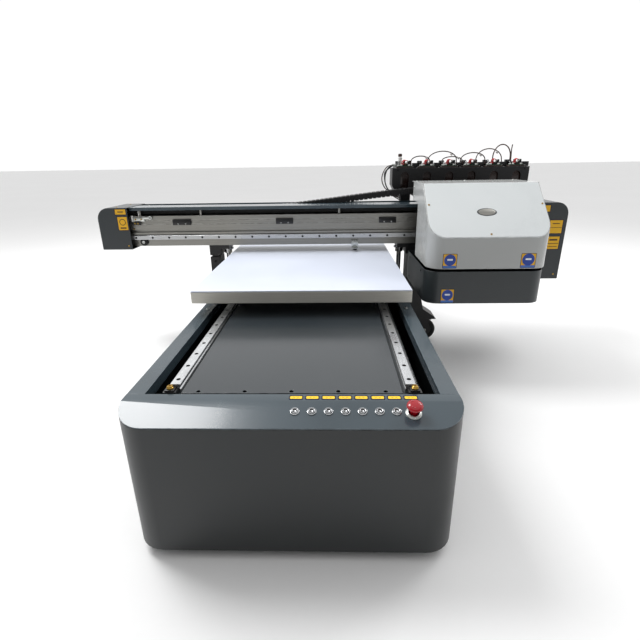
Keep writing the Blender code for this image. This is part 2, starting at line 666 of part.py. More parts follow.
def build_caster(side, sign):
    """Swivelling fork with its axle and brake pedal, and the wheel that turns on the axle."""
    swivel = (sign * CASTER_X, COLUMN_MIDDLE, 0.0)
    axle_x = CASTER_X + CASTER_TRAIL
    cheek = WHEEL_WIDTH / 2 + FORK_GAP
    top = ARM_UNDER - GAP
    under = AXLE_Z + WHEEL_RADIUS + FORK_CROWN
    eye, pedal_low = AXLE_Z - FORK_EYE, under - PEDAL_DROP
    outline = [(CASTER_X - FORK_HALF, top), (CASTER_X - FORK_HALF, under), (axle_x - FORK_EYE, eye),
               (axle_x + FORK_EYE, eye), (axle_x + FORK_SHOULDER, under), (CASTER_X + PEDAL_REACH, pedal_low),
               (CASTER_X + PEDAL_REACH, pedal_low + PEDAL_SHEET), (axle_x + PEDAL_ROOT, top)]
    reach = cheek + FORK_SHEET
    fork = prism_piece(f"caster_fork_{side}", "fork_" + side, mirrored(outline, sign), "Y",
                       COLUMN_MIDDLE - reach, COLUMN_MIDDLE + reach, "black paint", at=swivel)
    low, high = sorted((sign * (CASTER_X - 0.05), sign * (CASTER_X + 0.1)))
    beneath = AXLE_Z - WHEEL_RADIUS
    combine(fork, tool_box((low, COLUMN_MIDDLE - cheek, beneath), (high, COLUMN_MIDDLE + cheek, under)))
    for edge in (-1, 1):
        start, end = sorted((edge * PEDAL_HALF, edge * 0.03))
        left, right = sorted((sign * (axle_x + PEDAL_ROOT + 0.002), sign * (CASTER_X + 0.1)))
        combine(fork, tool_box((left, COLUMN_MIDDLE + start, beneath),
                               (right, COLUMN_MIDDLE + end, top + 0.01)))
    stub = cheek + 0.001
    pin = [(0.0, -stub), (AXLE_RADIUS, -stub), (AXLE_RADIUS, stub), (0.0, stub)]
    axle = as_tool(add_mesh("tool", turned_mesh(pin, "Y")))
    axle.location = (sign * axle_x, COLUMN_MIDDLE, AXLE_Z)
    combine(fork, axle, "UNION")
    half = WHEEL_WIDTH / 2
    tread = WHEEL_RADIUS
    profile = [(WHEEL_BORE, -half), (tread - 0.004, -half), (tread - 0.001, -half + 0.002),
               (tread, -half + 0.005), (tread, half - 0.005), (tread - 0.001, half - 0.002),
               (tread - 0.004, half), (WHEEL_BORE, half), (WHEEL_BORE, -half)]
    turned_piece(f"caster_wheel_{side}", "fork_" + side, profile, (sign * axle_x, COLUMN_MIDDLE, AXLE_Z),
                 "rubber", axis="Y")


def build_beam():
    low_face = BEAM_FRONT + BEAM_RECESS
    step = SLOT_Z[0] - 0.008
    slot_root = BEAM_FRONT + SLOT_DEPTH
    outline = [(low_face, BEAM_BOTTOM), (low_face, step - 0.002), (BEAM_FRONT, step), (BEAM_FRONT, SLOT_Z[0]),
               (slot_root, SLOT_Z[0]), (slot_root, SLOT_Z[1]), (BEAM_FRONT, SLOT_Z[1])]
    for z in V_GROOVES:
        outline += [(BEAM_FRONT, z - V_SIZE), (BEAM_FRONT + V_SIZE, z), (BEAM_FRONT, z + V_SIZE)]
    outline += [(BEAM_FRONT, BEAM_TOP), (BEAM_REAR, BEAM_TOP), (BEAM_REAR, BEAM_BOTTOM)]
    beam = prism_piece("beam_extrusion", "beam", outline, "X", BEAM_LEFT, BEAM_RIGHT, "anodised")
    combine(beam, tool_box((BEAM_LEFT - 0.01, BEAM_FRONT + CAVITY_FRONT, BEAM_BOTTOM + BEAM_WALL),
                           (BEAM_RIGHT + 0.01, BEAM_REAR - BEAM_WALL, BEAM_TOP - BEAM_WALL)))
    for sign in (-1, 1):
        place = (sign * LIFT_SCREW_X, COLUMN_MIDDLE, BEAM_BOTTOM)
        combine(beam, tool_drill(place, LIFT_SCREW_RADIUS + SHAFT_GAP, -0.01, 0.01))
    half, depth = BEAM_RAIL_WIDTH / 2, BEAM_RAIL_DEPTH
    root = low_face - GAP
    section = rail_outline(BEAM_RAIL_WIDTH, depth, BEAM_RAIL_Z, 0.0)
    outline = [(root - v, u) for u, v in section]
    rail = prism_piece("beam_rail", "beam", outline, "X", BEAM_RAIL_LEFT, BEAM_RIGHT - 0.005, "steel")
    count = int((BEAM_RIGHT - 0.005 - BEAM_RAIL_LEFT - BEAM_RAIL_MARGIN) / BEAM_RAIL_PITCH) + 1
    for i in range(count):
        x = BEAM_RAIL_LEFT + BEAM_RAIL_MARGIN + i * BEAM_RAIL_PITCH
        hole = [(0.0, -0.001), (BEAM_RAIL_HOLE, -0.001), (BEAM_RAIL_HOLE, 0.004), (0.0, 0.004)]
        tool = as_tool(add_mesh("tool", turned_mesh(hole, "Y", 10)))
        tool.location = (x, root - depth, BEAM_RAIL_Z)
        combine(rail, tool)


def build_beam_covers():
    top, lip, low = COVER_TOP, COVER_TOP - COVER_LIP, BEAM_TOP + GAP
    s = SHEET
    outline = [(COVER_FRONT, lip), (COVER_FRONT, top), (COVER_BACK, top), (COVER_BACK, low + s),
               (TROUGH_REAR - s, low + s), (TROUGH_REAR - s, top), (TROUGH_REAR, top), (TROUGH_REAR, low),
               (COVER_BACK - s, low), (COVER_BACK - s, top - s), (COVER_FRONT + s, top - s),
               (COVER_FRONT + s, lip)]
    left, right = LEFT_CAP[1] + GAP, RIGHT_CAP[0] - GAP
    prism_piece("beam_top_cover", "beam", outline, "X", left, right, "deck paint")
    for side, cap, corner in (("left", LEFT_CAP, "left"), ("right", RIGHT_CAP, "right")):
        low_x, high_x, bottom = cap
        r = CAP_CORNER
        if corner == "left":
            outline = [(high_x, CAP_TOP), (high_x, bottom), (low_x, bottom)]
            outline += arc((low_x + r, CAP_TOP - r), r, 180, 90, 8)
            open_low, open_high = low_x + s, high_x + 0.01
            inner = [(open_high, CAP_TOP - s), (open_high, bottom + s), (open_low, bottom + s)]
            inner += arc((low_x + r, CAP_TOP - r), r - s, 180, 90, 8)
        else:
            outline = [(low_x, CAP_TOP), (low_x, bottom), (high_x, bottom)]
            outline += arc((high_x - r, CAP_TOP - r), r, 0, 90, 8)
            open_low, open_high = high_x - s, low_x - 0.01
            inner = [(open_high, CAP_TOP - s), (open_high, bottom + s), (open_low, bottom + s)]
            inner += arc((high_x - r, CAP_TOP - r), r - s, 0, 90, 8)
        cover = prism_piece(f"{side}_end_cover", "beam", outline, "Y", CAP_FRONT, CAP_REAR, "slate paint")
        combine(cover, tool_prism(inner, "Y", CAP_FRONT + s, CAP_REAR - s))


def build_belt_drive():
    r = PULLEY_RADIUS
    profile = [(0.0, 0.0), (r, 0.0), (r, PULLEY_HEIGHT), (0.0, PULLEY_HEIGHT)]
    turned_piece("idler_pulley", "beam", profile, (LEFT_PULLEY_X, PULLEY_Y, PULLEY_Z), "steel")
    turned_piece("drive_pulley", "beam", profile, (RIGHT_PULLEY_X, PULLEY_Y, PULLEY_Z), "steel")
    inside = r + GAP * 2
    loops = []
    for radius in (inside, inside + BELT_THICKNESS):
        loops.append(arc((LEFT_PULLEY_X, PULLEY_Y), radius, 90, 270, 12)
                     + arc((RIGHT_PULLEY_X, PULLEY_Y), radius, -90, 90, 12))
    base = PULLEY_Z + (PULLEY_HEIGHT - BELT_WIDTH) / 2
    belt = prism_piece("carriage_belt", "beam", loops[1], "Z", base, base + BELT_WIDTH, "rubber")
    combine(belt, tool_prism(loops[0], "Z", base - 0.01, base + BELT_WIDTH + 0.01))
    half = MOTOR_SIZE / 2
    top = PULLEY_Z - 0.002
    box_piece("carriage_motor", "beam", (RIGHT_PULLEY_X - half, PULLEY_Y - half, top - CARRIAGE_MOTOR_HEIGHT),
              (RIGHT_PULLEY_X + half, PULLEY_Y + half, top), "plastic")


def build_carriage_hood():
    lid_skin = LID_SHEET + GAP
    head_y, head_z = CARRIAGE_LID_HEAD
    slope = (head_z - CARRIAGE_LID_FOOT) / (head_y - CARRIAGE_FRONT)
    drop = lid_skin * math.hypot(1.0, slope)
    top_back = [(CARRIAGE_TOP_BACK, head_z), (CARRIAGE_TOP_BACK, head_z - SHEET),
                (CARRIAGE_BACK_HIGH, head_z - SHEET), (CARRIAGE_BACK_HIGH, CARRIAGE_STEP_Z),
                (CARRIAGE_BACK_LOW, CARRIAGE_STEP_Z), (CARRIAGE_BACK_LOW, CARRIAGE_BOTTOM)]
    outline = [(CARRIAGE_FRONT, CARRIAGE_BOTTOM), (CARRIAGE_FRONT, CARRIAGE_LID_FOOT - drop),
               (head_y, head_z - drop), (head_y, head_z)] + top_back
    hood = prism_piece("carriage_cover", "carriage", outline, "X", CARRIAGE_LEFT, CARRIAGE_RIGHT,
                       "white paint")
    plan = rounded_plan(CARRIAGE_LEFT, CARRIAGE_FRONT, CARRIAGE_RIGHT, 1.2, CARRIAGE_CORNER)
    combine(hood, tool_prism(plan, "Z", 0.3, 0.7), "INTERSECT")
    low, back = CARRIAGE_BOTTOM - 0.01, CARRIAGE_BACK_HIGH + 0.01
    under = drop + SHEET * math.hypot(1.0, slope)
    inner_plan = rounded_plan(CARRIAGE_LEFT + SHEET, CARRIAGE_FRONT + SHEET, CARRIAGE_RIGHT - SHEET, 1.2,
                              CARRIAGE_CORNER - SHEET)
    shift = SHEET * slope
    inner = [(CARRIAGE_FRONT, low), (CARRIAGE_FRONT, CARRIAGE_LID_FOOT - under),
             (head_y, head_z - under), (head_y + shift, head_z - SHEET), (back, head_z - SHEET), (back, low)]
    core = tool_prism(inner_plan, "Z", 0.3, 0.7)
    combine(core, tool_prism(inner, "X", 0.3, 0.85), "INTERSECT")
    combine(hood, core)
    ahead = 0.001
    foot_z, seam = CARRIAGE_LID_FOOT - ahead * slope, drop - GAP * 1.5
    band = [(CARRIAGE_FRONT - ahead, foot_z), (head_y - GAP, head_z), (head_y - GAP, head_z - seam),
            (CARRIAGE_FRONT - ahead, foot_z - seam)]
    lid = prism_piece("carriage_lid", "carriage", band, "X", CARRIAGE_LEFT, CARRIAGE_RIGHT, "white paint")
    lid_plan = rounded_plan(CARRIAGE_LEFT + LID_MARGIN, CARRIAGE_FRONT, CARRIAGE_RIGHT - LID_MARGIN, 1.2,
                            CARRIAGE_CORNER - LID_MARGIN)
    combine(lid, tool_prism(lid_plan, "Z", 0.3, 0.7), "INTERSECT")


def build_carriage_works():
    face = BEAM_FRONT - 0.0008
    rail_face = BEAM_FRONT + BEAM_RECESS - GAP - BEAM_RAIL_DEPTH - SLIDE_GAP
    slot = BEAM_RAIL_WIDTH / 2 + SLIDE_GAP
    z = BEAM_RAIL_Z
    low, high = z - SLIDER_HALF, z + SLIDER_HALF
    outline = [(SLIDER_FRONT, low), (SLIDER_FRONT, high), (face, high), (face, z + slot),
               (rail_face, z + slot), (rail_face, z - slot), (face, z - slot), (face, low)]
    prism_piece("carriage_slider", "carriage", outline, "X", *SLIDER, "steel")
    front, rear = BACK_PLATE_FRONT, SLIDER_FRONT - GAP
    foot, arm_top = HEAD_BLOCK[0][2], ARM_Z + ARM_SHEET
    outline = [(front, foot), (front, arm_top), (ARM_REAR, arm_top), (ARM_REAR, ARM_Z), (rear, ARM_Z),
               (rear, foot)]
    prism_piece("carriage_back_plate", "carriage", outline, "X", *BACK_PLATE, "anodised")
    for name, (low, high), finish in (("head_block", HEAD_BLOCK, "plastic"), ("uv_lamp", LAMP, "anodised")):
        box_piece(name, "carriage", low, (high[0], BACK_PLATE_FRONT - GAP, high[1]), finish)


def build_station():
    shallow = BEAM_FRONT - 0.002
    plan = rounded_plan(STATION_LEFT, STATION_FRONT, STATION_RIGHT, STATION_REAR, STATION_CORNER)[:-1]
    plan += [(STATION_NECK, STATION_REAR), (STATION_NECK, shallow), (STATION_LEFT, shallow)]
    top = BEAM_BOTTOM - GAP
    house = prism_piece("capping_housing", "beam", plan, "Z", STATION_BOTTOM, top, "slate paint")
    combine(house, tool_box((0.3, 0.6, STATION_TOP), (0.9, BEAM_FRONT + 0.010, top + 0.01)))
    inner = rounded_plan(STATION_LEFT + SHEET, STATION_FRONT + SHEET, STATION_RIGHT - SHEET,
                         STATION_REAR - SHEET, STATION_CORNER - SHEET)[:-1]
    inner += [(STATION_NECK + SHEET, STATION_REAR - SHEET), (STATION_NECK + SHEET, shallow - SHEET),
              (STATION_LEFT + SHEET, shallow - SHEET)]
    combine(house, tool_prism(inner, "Z", STATION_BOTTOM + SHEET, top + 0.01))
    box_piece("cap_tray", "cap_lift", *CAP_TRAY, "rubber")


def build_tanks():
    (left, front, low), (right, rear, high) = TANK_BOX
    cut = 2 * TANK_CHAMFER
    outline = [(left + TANK_CHAMFER, low), (right, low), (right, high), (left, high), (left, low + cut)]
    box = prism_piece("ink_tank_box", "beam", outline, "Y", front, rear, "black paint")
    inner = [(left + TANK_CHAMFER + SHEET, low + SHEET), (right - SHEET, low + SHEET),
             (right - SHEET, high + 0.01), (left + SHEET, high + 0.01), (left + SHEET, low + cut + SHEET)]
    combine(box, tool_prism(inner, "Y", front + SHEET, rear - SHEET))
    for i in range(TANK_COUNT):
        x = TANK_FIRST_X + i * TANK_PITCH
        window = [(x - WINDOW_HALF, WINDOW_BOTTOM), (x + WINDOW_HALF, WINDOW_BOTTOM)]
        window += arc((x, WINDOW_TOP - WINDOW_HALF), WINDOW_HALF, 0, 180, 8)
        combine(box, tool_prism(window, "Y", front - 0.01, front + SHEET + 0.001))
    leg_low, leg_high = TANK_LEG_Z
    leg_rear, leg_top = front + TANK_LEG_DEPTH, low + 0.001
    leg = [(BEAM_REAR + GAP, leg_low), (leg_rear, leg_low), (leg_rear, leg_top), (front, leg_top),
           (front, leg_high), (BEAM_REAR + GAP, leg_high)]
    for x in TANK_LEGS:
        combine(box, tool_prism(leg, "X", x - TANK_LEG_HALF, x + TANK_LEG_HALF), "UNION")
    floor = low + SHEET + GAP
    comb = [(TANK_FIRST_X - TANK_HALF, floor)]
    last = TANK_FIRST_X + (TANK_COUNT - 1) * TANK_PITCH + TANK_HALF
    comb.append((last, floor))
    for i in reversed(range(TANK_COUNT)):
        x = TANK_FIRST_X + i * TANK_PITCH
        comb += [(x + TANK_HALF, TANK_TOP), (x + TANK_CAP_HALF, TANK_TOP), (x + TANK_CAP_HALF, TANK_CAP_TOP),
                 (x - TANK_CAP_HALF, TANK_CAP_TOP), (x - TANK_CAP_HALF, TANK_TOP), (x - TANK_HALF, TANK_TOP)]
        if i:
            comb += [(x - TANK_HALF, floor + 0.006), (x - TANK_PITCH + TANK_HALF, floor + 0.006)]
    prism_piece("ink_tanks", "beam", comb, "Y", front + SHEET + 0.006, rear - SHEET - 0.006, "ink")


def tube_piece(name, body, points, radius, finish, at):
    """Round tube with filled caps along the given points."""
    curve = bpy.data.curves.new(name, "CURVE")
    curve.dimensions = "3D"
    curve.bevel_depth = radius
    curve.bevel_resolution = 2
    curve.use_fill_caps = True
    spline = curve.splines.new("POLY")
    spline.points.add(len(points) - 1)
    for point, place in zip(spline.points, points):
        point.co = (*(Vector(place) - Vector(at)), 1.0)
    obj = bpy.data.objects.new(name, curve)
    bpy.context.collection.objects.link(obj)
    return fit_out(obj, body, at, finish)


def build_lines():
    y = (TANK_BOX[0][1] + TANK_BOX[1][1]) / 2
    left = TANK_FIRST_X + (TANK_COUNT - 2) * TANK_PITCH
    right = left + TANK_PITCH
    foot = TANK_CAP_TOP + GAP
    middle, half = (left + right) / 2, (right - left) / 2
    points = [(left, y, foot)]
    for i in range(15):
        angle = math.pi * i / 14
        points.append((middle - half * math.cos(angle), y, foot + TUBE_COLLAR + TUBE_RISE * math.sin(angle)))
    points.append((right, y, foot))
    tube_piece("ink_tube", "beam", points, TUBE_RADIUS, "ink", points[0])
    floor = BEAM_TOP + GAP + SHEET + GAP
    rise = ARM_Z + ARM_SHEET + GAP
    tail, start, end = CHAIN_FIXED_X - CHAIN_TAIL, CHAIN_FIXED_X, CHAIN_END_X
    flat = CARRIAGE_LEFT + 0.015
    lower = [(tail, floor)]
    for i in range(9):
        t = i / 8
        ease = t * t * (3 - 2 * t)
        lower.append((start + (flat - start) * t, floor + (rise - floor) * (0.75 * t + 0.25 * ease)))
    lower.append((end, rise))
    upper = [(x, z + CHAIN_HEIGHT) for x, z in reversed(lower)]
    prism_piece("drag_chain", "carriage", lower + upper, "Y", *CHAIN_Y, "plastic", at=(end, CHAIN_Y[0], rise))


clear_scene()
FINISHES = make_materials()
BODIES = make_bodies()
build_shell()
build_feet()
build_panel()
build_buttons()
build_deck()
build_rails()
build_table()
build_table_drive()
for column_side, column_sign in (("left", -1), ("right", 1)):
    build_column(column_side, column_sign)
    build_caster(column_side, column_sign)
build_beam()
build_beam_covers()
build_belt_drive()
build_carriage_hood()
build_carriage_works()
build_station()
build_tanks()
build_lines()
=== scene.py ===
# Flatbed UV printer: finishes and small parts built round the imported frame, in metres.
# Places are on the drawing: x from the machine's middle, y back from the base's front face,
# z up from the lower edge of the base shell. makePiece and the point and path makers move them
# into the row frame.
import math

import bmesh
import bpy
from mathutils import Matrix, Vector


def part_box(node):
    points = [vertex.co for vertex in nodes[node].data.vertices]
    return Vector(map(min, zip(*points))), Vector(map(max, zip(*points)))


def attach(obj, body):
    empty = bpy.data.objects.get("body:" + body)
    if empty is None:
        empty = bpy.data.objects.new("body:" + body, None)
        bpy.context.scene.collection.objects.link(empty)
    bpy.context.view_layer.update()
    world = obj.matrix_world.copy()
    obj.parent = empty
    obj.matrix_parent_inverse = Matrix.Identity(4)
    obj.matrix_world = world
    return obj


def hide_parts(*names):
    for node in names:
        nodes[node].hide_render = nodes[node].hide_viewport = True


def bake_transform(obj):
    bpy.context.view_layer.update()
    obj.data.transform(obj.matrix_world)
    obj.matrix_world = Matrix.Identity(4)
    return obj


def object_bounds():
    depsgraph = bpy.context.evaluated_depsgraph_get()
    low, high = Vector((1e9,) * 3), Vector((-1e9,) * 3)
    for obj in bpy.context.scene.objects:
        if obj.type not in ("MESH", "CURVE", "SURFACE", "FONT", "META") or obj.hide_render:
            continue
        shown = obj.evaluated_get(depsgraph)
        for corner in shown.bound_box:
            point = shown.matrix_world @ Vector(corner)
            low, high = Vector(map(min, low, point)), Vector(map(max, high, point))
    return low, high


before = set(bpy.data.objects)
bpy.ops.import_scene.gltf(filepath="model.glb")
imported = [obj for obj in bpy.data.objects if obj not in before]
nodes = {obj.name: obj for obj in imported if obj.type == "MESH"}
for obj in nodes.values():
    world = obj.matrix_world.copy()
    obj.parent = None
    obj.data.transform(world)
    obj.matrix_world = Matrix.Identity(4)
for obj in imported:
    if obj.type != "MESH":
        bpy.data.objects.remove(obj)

cadLow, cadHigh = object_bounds()
shellLow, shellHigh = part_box("base_shell")
origin = Vector(((shellLow.x + shellHigh.x) / 2, shellLow.y, shellLow.z))


def addNode(tree, kind, settings=None, inputs=None):
    node = tree.nodes.new(kind)
    for key, value in (settings or {}).items():
        setattr(node, key, value)
    for key, value in (inputs or {}).items():
        if isinstance(value, bpy.types.NodeSocket):
            tree.links.new(value, node.inputs[key])
        else:
            node.inputs[key].default_value = value
    return node


def linearColour(code):
    parts = [int(code[i:i + 2], 16) / 255 for i in (0, 2, 4)]
    return tuple(c / 12.92 if c <= 0.04045 else ((c + 0.055) / 1.055) ** 2.4 for c in parts) + (1.0,)


# How every finish reads its patterns; the scales come with each finish, in metres.
pattern = {"fineDetail": 3.0, "fineRoughness": 0.6, "broadDetail": 4.0, "broadDistortion": 0.3,
           "colourLow": 0.33, "colourHigh": 0.67, "polishLow": 0.35, "polishHigh": 0.65, "bumpDepth": 0.25,
           "rubScale": 60.0, "rubDetail": 3.0, "rubLow": 0.42, "rubHigh": 0.62, "rubMost": 0.7,
           "coatRoughness": 0.12}
finishes, finishSlot = {}, {}


def makeFinish(name, dark, light, worn, grain, rough, patch=0.20, stretch=(1, 1, 1), bump=0.06, metallic=0.0,
               ior=1.5, coat=0.0, slot=None, contrast=0.25):
    made = bpy.data.materials.new(name)
    made.use_nodes = True
    tree = made.node_tree
    tree.nodes.clear()
    place = addNode(tree, "ShaderNodeTexCoord").outputs["Object"]
    laid = addNode(tree, "ShaderNodeMapping", {}, {"Vector": place, "Scale": stretch}).outputs["Vector"]
    fine = addNode(tree, "ShaderNodeTexNoise", {},
                   {"Vector": laid, "Scale": 1 / grain, "Detail": pattern["fineDetail"],
                    "Roughness": pattern["fineRoughness"]}).outputs["Fac"]
    broad = addNode(tree, "ShaderNodeTexNoise", {},
                    {"Vector": laid, "Scale": 1 / patch, "Detail": pattern["broadDetail"],
                     "Distortion": pattern["broadDistortion"]}).outputs["Fac"]
    both = addNode(tree, "ShaderNodeMix", {"data_type": "FLOAT"}, {0: contrast, 2: broad, 3: fine}).outputs[0]
    spread = addNode(tree, "ShaderNodeMapRange", {},
                     {"Value": both, "From Min": pattern["colourLow"],
                      "From Max": pattern["colourHigh"]}).outputs[0]
    plain = addNode(tree, "ShaderNodeMix", {"data_type": "RGBA"},
                    {0: spread, 6: linearColour(dark), 7: linearColour(light)}).outputs[2]
    edge = addNode(tree, "ShaderNodeAttribute", {"attribute_name": "edgeWear"}).outputs["Fac"]
    rub = addNode(tree, "ShaderNodeTexNoise", {}, {"Vector": place, "Scale": pattern["rubScale"],
                                                   "Detail": pattern["rubDetail"]}).outputs["Fac"]
    rub = addNode(tree, "ShaderNodeMapRange", {}, {"Value": rub, "From Min": pattern["rubLow"],
                                                   "From Max": pattern["rubHigh"],
                                                   "To Max": pattern["rubMost"]}).outputs[0]
    rub = addNode(tree, "ShaderNodeMath", {"operation": "MULTIPLY"}, {0: edge, 1: rub}).outputs[0]
    colour = addNode(tree, "ShaderNodeMix", {"data_type": "RGBA"},
                     {0: rub, 6: plain, 7: linearColour(worn)}).outputs[2]
    polish = addNode(tree, "ShaderNodeMapRange", {}, {"Value": both, "From Min": pattern["polishLow"],
                                                      "From Max": pattern["polishHigh"],
                                                      "To Min": rough[0], "To Max": rough[1]}).outputs[0]
    shader = addNode(tree, "ShaderNodeBsdfPrincipled", {},
                     {"Base Color": colour, "Roughness": polish, "Metallic": metallic, "Coat Weight": coat,
                      "Coat Roughness": pattern["coatRoughness"]})
    if not metallic:
        shader.inputs["IOR"].default_value = ior
    if bump:
        bumped = addNode(tree, "ShaderNodeBump", {}, {"Height": fine, "Strength": bump,
                                                      "Distance": grain * pattern["bumpDepth"]})
        tree.links.new(bumped.outputs["Normal"], shader.inputs["Normal"])
    addNode(tree, "ShaderNodeOutputMaterial", {}, {"Surface": shader.outputs[0]})
    finishes[name] = made
    finishSlot[name] = slot


# Powder coat on folded sheet steel: satin, with the fine orange peel of a stoved coat.
makeFinish("slatePowderCoat", "272c2e", "2f3538", "5a6266", 0.0012, (0.34, 0.44), bump=0.10, coat=0.10,
           slot="slate_paint")
makeFinish("deepSlateCoat", "141819", "1a1f21", "474e51", 0.0012, (0.36, 0.46), bump=0.10, coat=0.06,
           slot="slate_paint")
makeFinish("deckPowderCoat", "364249", "404d55", "78838a", 0.0012, (0.22, 0.28), bump=0.08, coat=0.30,
           slot="deck_paint")
# The loose cover plate has the same coat, rubbed glossier by hands and cleaning cloths.
makeFinish("rubbedCoverCoat", "2a3034", "34393d", "6f7679", 0.0014, (0.18, 0.27), patch=0.35, bump=0.05,
           coat=0.15, slot="deck_paint", contrast=0.12)
makeFinish("blackPowderCoat", "151516", "1d1d1f", "4a4a4c", 0.0010, (0.42, 0.55), bump=0.12,
           slot="black_paint")
# Wet-sprayed light grey enamel over sheet steel: smooth and softly glossy.
makeFinish("lightGreyEnamel", "d3d8d9", "dde1e2", "f2f4f4", 0.0016, (0.26, 0.34), patch=0.4, bump=0.03,
           coat=0.25, slot="white_paint")
# The hood under the lid has the same enamel one shade down: painted shade for the hood's front faces, which
# face away from the overhead light.
makeFinish("greyEnamelPaintedShade", "a7a9a8", "b2b4b3", "e2e3e2", 0.0016, (0.22, 0.30), patch=0.4, bump=0.03,
           coat=0.30, slot="white_paint")
# Laminate bed skin: white, slightly blue, scuffed by the blanks laid on it.
makeFinish("whiteLaminate", "d2d8e6", "d9dfec", "c9ccd2", 0.0030, (0.30, 0.38), patch=0.25, bump=0.02,
           slot="white_skin")
# Aluminium as extruded: drawn lines along its length, drawn a millimetre apart so that they show.
makeFinish("drawnAluminium", "bcb9b0", "d3d0c7", "dedcd5", 0.0016, (0.36, 0.50), stretch=(0.03, 1, 1),
           bump=0.10, metallic=0.5, slot="anodised", contrast=0.5, patch=0.03)
makeFinish("clearAnodised", "868580", "9f9d97", "cfceca", 0.0014, (0.30, 0.40), stretch=(0.01, 1, 1),
           bump=0.04, metallic=0.9, slot="anodised", contrast=0.5, patch=0.02)
# Bearing steel ground along the rail, with a broken film of oil.
makeFinish("groundRailSteel", "bfc1c3", "e6e8ea", "f2f3f4", 0.0030, (0.16, 0.30), stretch=(1, 0.25, 1),
           bump=0.04, metallic=0.9, slot="bearing_steel", contrast=0.4, patch=0.05)
makeFinish("beamRailSteel", "b3b4b5", "c9cacb", "e3e4e5", 0.0022, (0.24, 0.34), stretch=(0.06, 1, 1),
           bump=0.03, metallic=0.8, slot="bearing_steel", contrast=0.3, patch=0.08)
makeFinish("turnedSteel", "9c9d9e", "bebfc0", "dedfe0", 0.0008, (0.18, 0.32), bump=0.05, metallic=1.0,
           slot="bearing_steel")
makeFinish("zincPlate", "b8bbb9", "d5d7d3", "eeefec", 0.0018, (0.20, 0.38), bump=0.06, metallic=1.0,
           contrast=0.5)
makeFinish("polishedSteel", "c9cbcd", "dfe0e2", "f4f4f5", 0.0020, (0.06, 0.14), bump=0.02, metallic=1.0,
           slot="button_steel")
makeFinish("yellowBrass", "a5823c", "c7a455", "e6cd8c", 0.0012, (0.20, 0.34), bump=0.05, metallic=1.0)
makeFinish("blackOxideSteel", "17181a", "232427", "55585c", 0.0008, (0.30, 0.45), bump=0.06, metallic=0.8,
           slot="black_plastic")
# Moulded polyamide and ABS with a spark-eroded grain.
makeFinish("mouldedBlack", "151516", "1f1f21", "3a3a3c", 0.0007, (0.40, 0.55), bump=0.18,
           slot="black_plastic")
makeFinish("mouldedRed", "960515", "b00c22", "dd4455", 0.0014, (0.12, 0.22), bump=0.03, coat=0.3,
           slot="red_plastic")
makeFinish("tyreRubber", "161616", "222221", "343433", 0.0009, (0.62, 0.80), bump=0.22, slot="rubber")
makeFinish("smokedTank", "1c1412", "33221d", "4a342c", 0.0020, (0.14, 0.26), bump=0.02, ior=1.49, coat=0.3,
           slot="smoked_plastic")
makeFinish("inkLine", "2a1611", "4a2c20", "5a3b2c", 0.0030, (0.22, 0.34), bump=0.02, ior=1.46, coat=0.3,
           slot="smoked_plastic")
makeFinish("paleNylon", "d8d8d4", "e8e8e6", "f6f6f6", 0.0010, (0.35, 0.48), bump=0.05)
makeFinish("redWireSheath", "b5121c", "cf2029", "cc4a50", 0.0016, (0.34, 0.46), bump=0.04)
makeFinish("boardGreen", "0b3823", "12492f", "5d7d6c", 0.0008, (0.28, 0.40), bump=0.08, coat=0.2)
makeFinish("yellowVinyl", "dfa608", "ebb512", "f0c75a", 0.0020, (0.34, 0.46), bump=0.03)
makeFinish("brightYellowVinyl", "f1c40a", "f8d31f", "fae27a", 0.0020, (0.34, 0.46), bump=0.03)
makeFinish("blueVinyl", "143a94", "1b46a8", "5577c4", 0.0020, (0.34, 0.46), bump=0.03)
makeFinish("paleBlueVinyl", "3563b3", "4274c4", "8aa8dd", 0.0020, (0.34, 0.46), bump=0.03)
makeFinish("navyVinyl", "0c1130", "131b42", "454e7c", 0.0020, (0.36, 0.48), bump=0.03, ior=1.25)
makeFinish("brownInk", "3a2410", "4a3017", "6a4c30", 0.0015, (0.45, 0.55), bump=0.02)
makeFinish("paperWhite", "e9edf2", "f4f6f9", "ffffff", 0.0015, (0.40, 0.50), bump=0.02)
makeFinish("holeShade", "070707", "0d0d0e", "161617", 0.0010, (0.55, 0.70), bump=0.05)
makeFinish("lensGlass", "1d1030", "2a1848", "4b3a6a", 0.0040, (0.05, 0.10), bump=0.0, ior=1.52, coat=0.5)
print("finishes made:", len(finishes))


# Meshes are made in drawing places. A face that is new takes the slot of the part just added.
def markNew(bm, slot):
    known = bm.faces.layers.int.get("known") or bm.faces.layers.int.new("known")
    for face in bm.faces:
        if not face[known]:
            face.material_index = slot
            face[known] = 1


def addLoft(bm, rings, slot=0):
    made = [[bm.verts.new(p) for p in ring] for ring in rings]
    for lower, upper in zip(made, made[1:]):
        count = len(lower)
        for i in range(count):
            j = (i + 1) % count
            bm.faces.new((lower[i], lower[j], upper[j], upper[i]))
    bm.faces.new(made[0][::-1])
    bm.faces.new(made[-1])
    markNew(bm, slot)


def addLathe(bm, profile, centre, axis=(0, 0, 1), segments=32, slot=0, ring=False):
    turn = Vector((0, 0, 1)).rotation_difference(Vector(axis)).to_matrix()
    loops = []
    for radius, height in profile:
        count = segments if radius > 0 else 1
        turns = [math.tau * i / segments for i in range(count)]
        loops.append([bm.verts.new(Vector(centre) + turn @ Vector((radius * math.cos(t), radius * math.sin(t),
                                                                   height)))
                      for t in turns])
    pairs = list(zip(loops, loops[1:])) + ([(loops[-1], loops[0])] if ring else [])
    for lower, upper in pairs:
        for i in range(segments):
            corners = []
            for vert in (lower[i % len(lower)], lower[(i + 1) % len(lower)],
                         upper[(i + 1) % len(upper)], upper[i % len(upper)]):
                if vert not in corners:
                    corners.append(vert)
            if len(corners) > 2:
                bm.faces.new(corners)
    markNew(bm, slot)


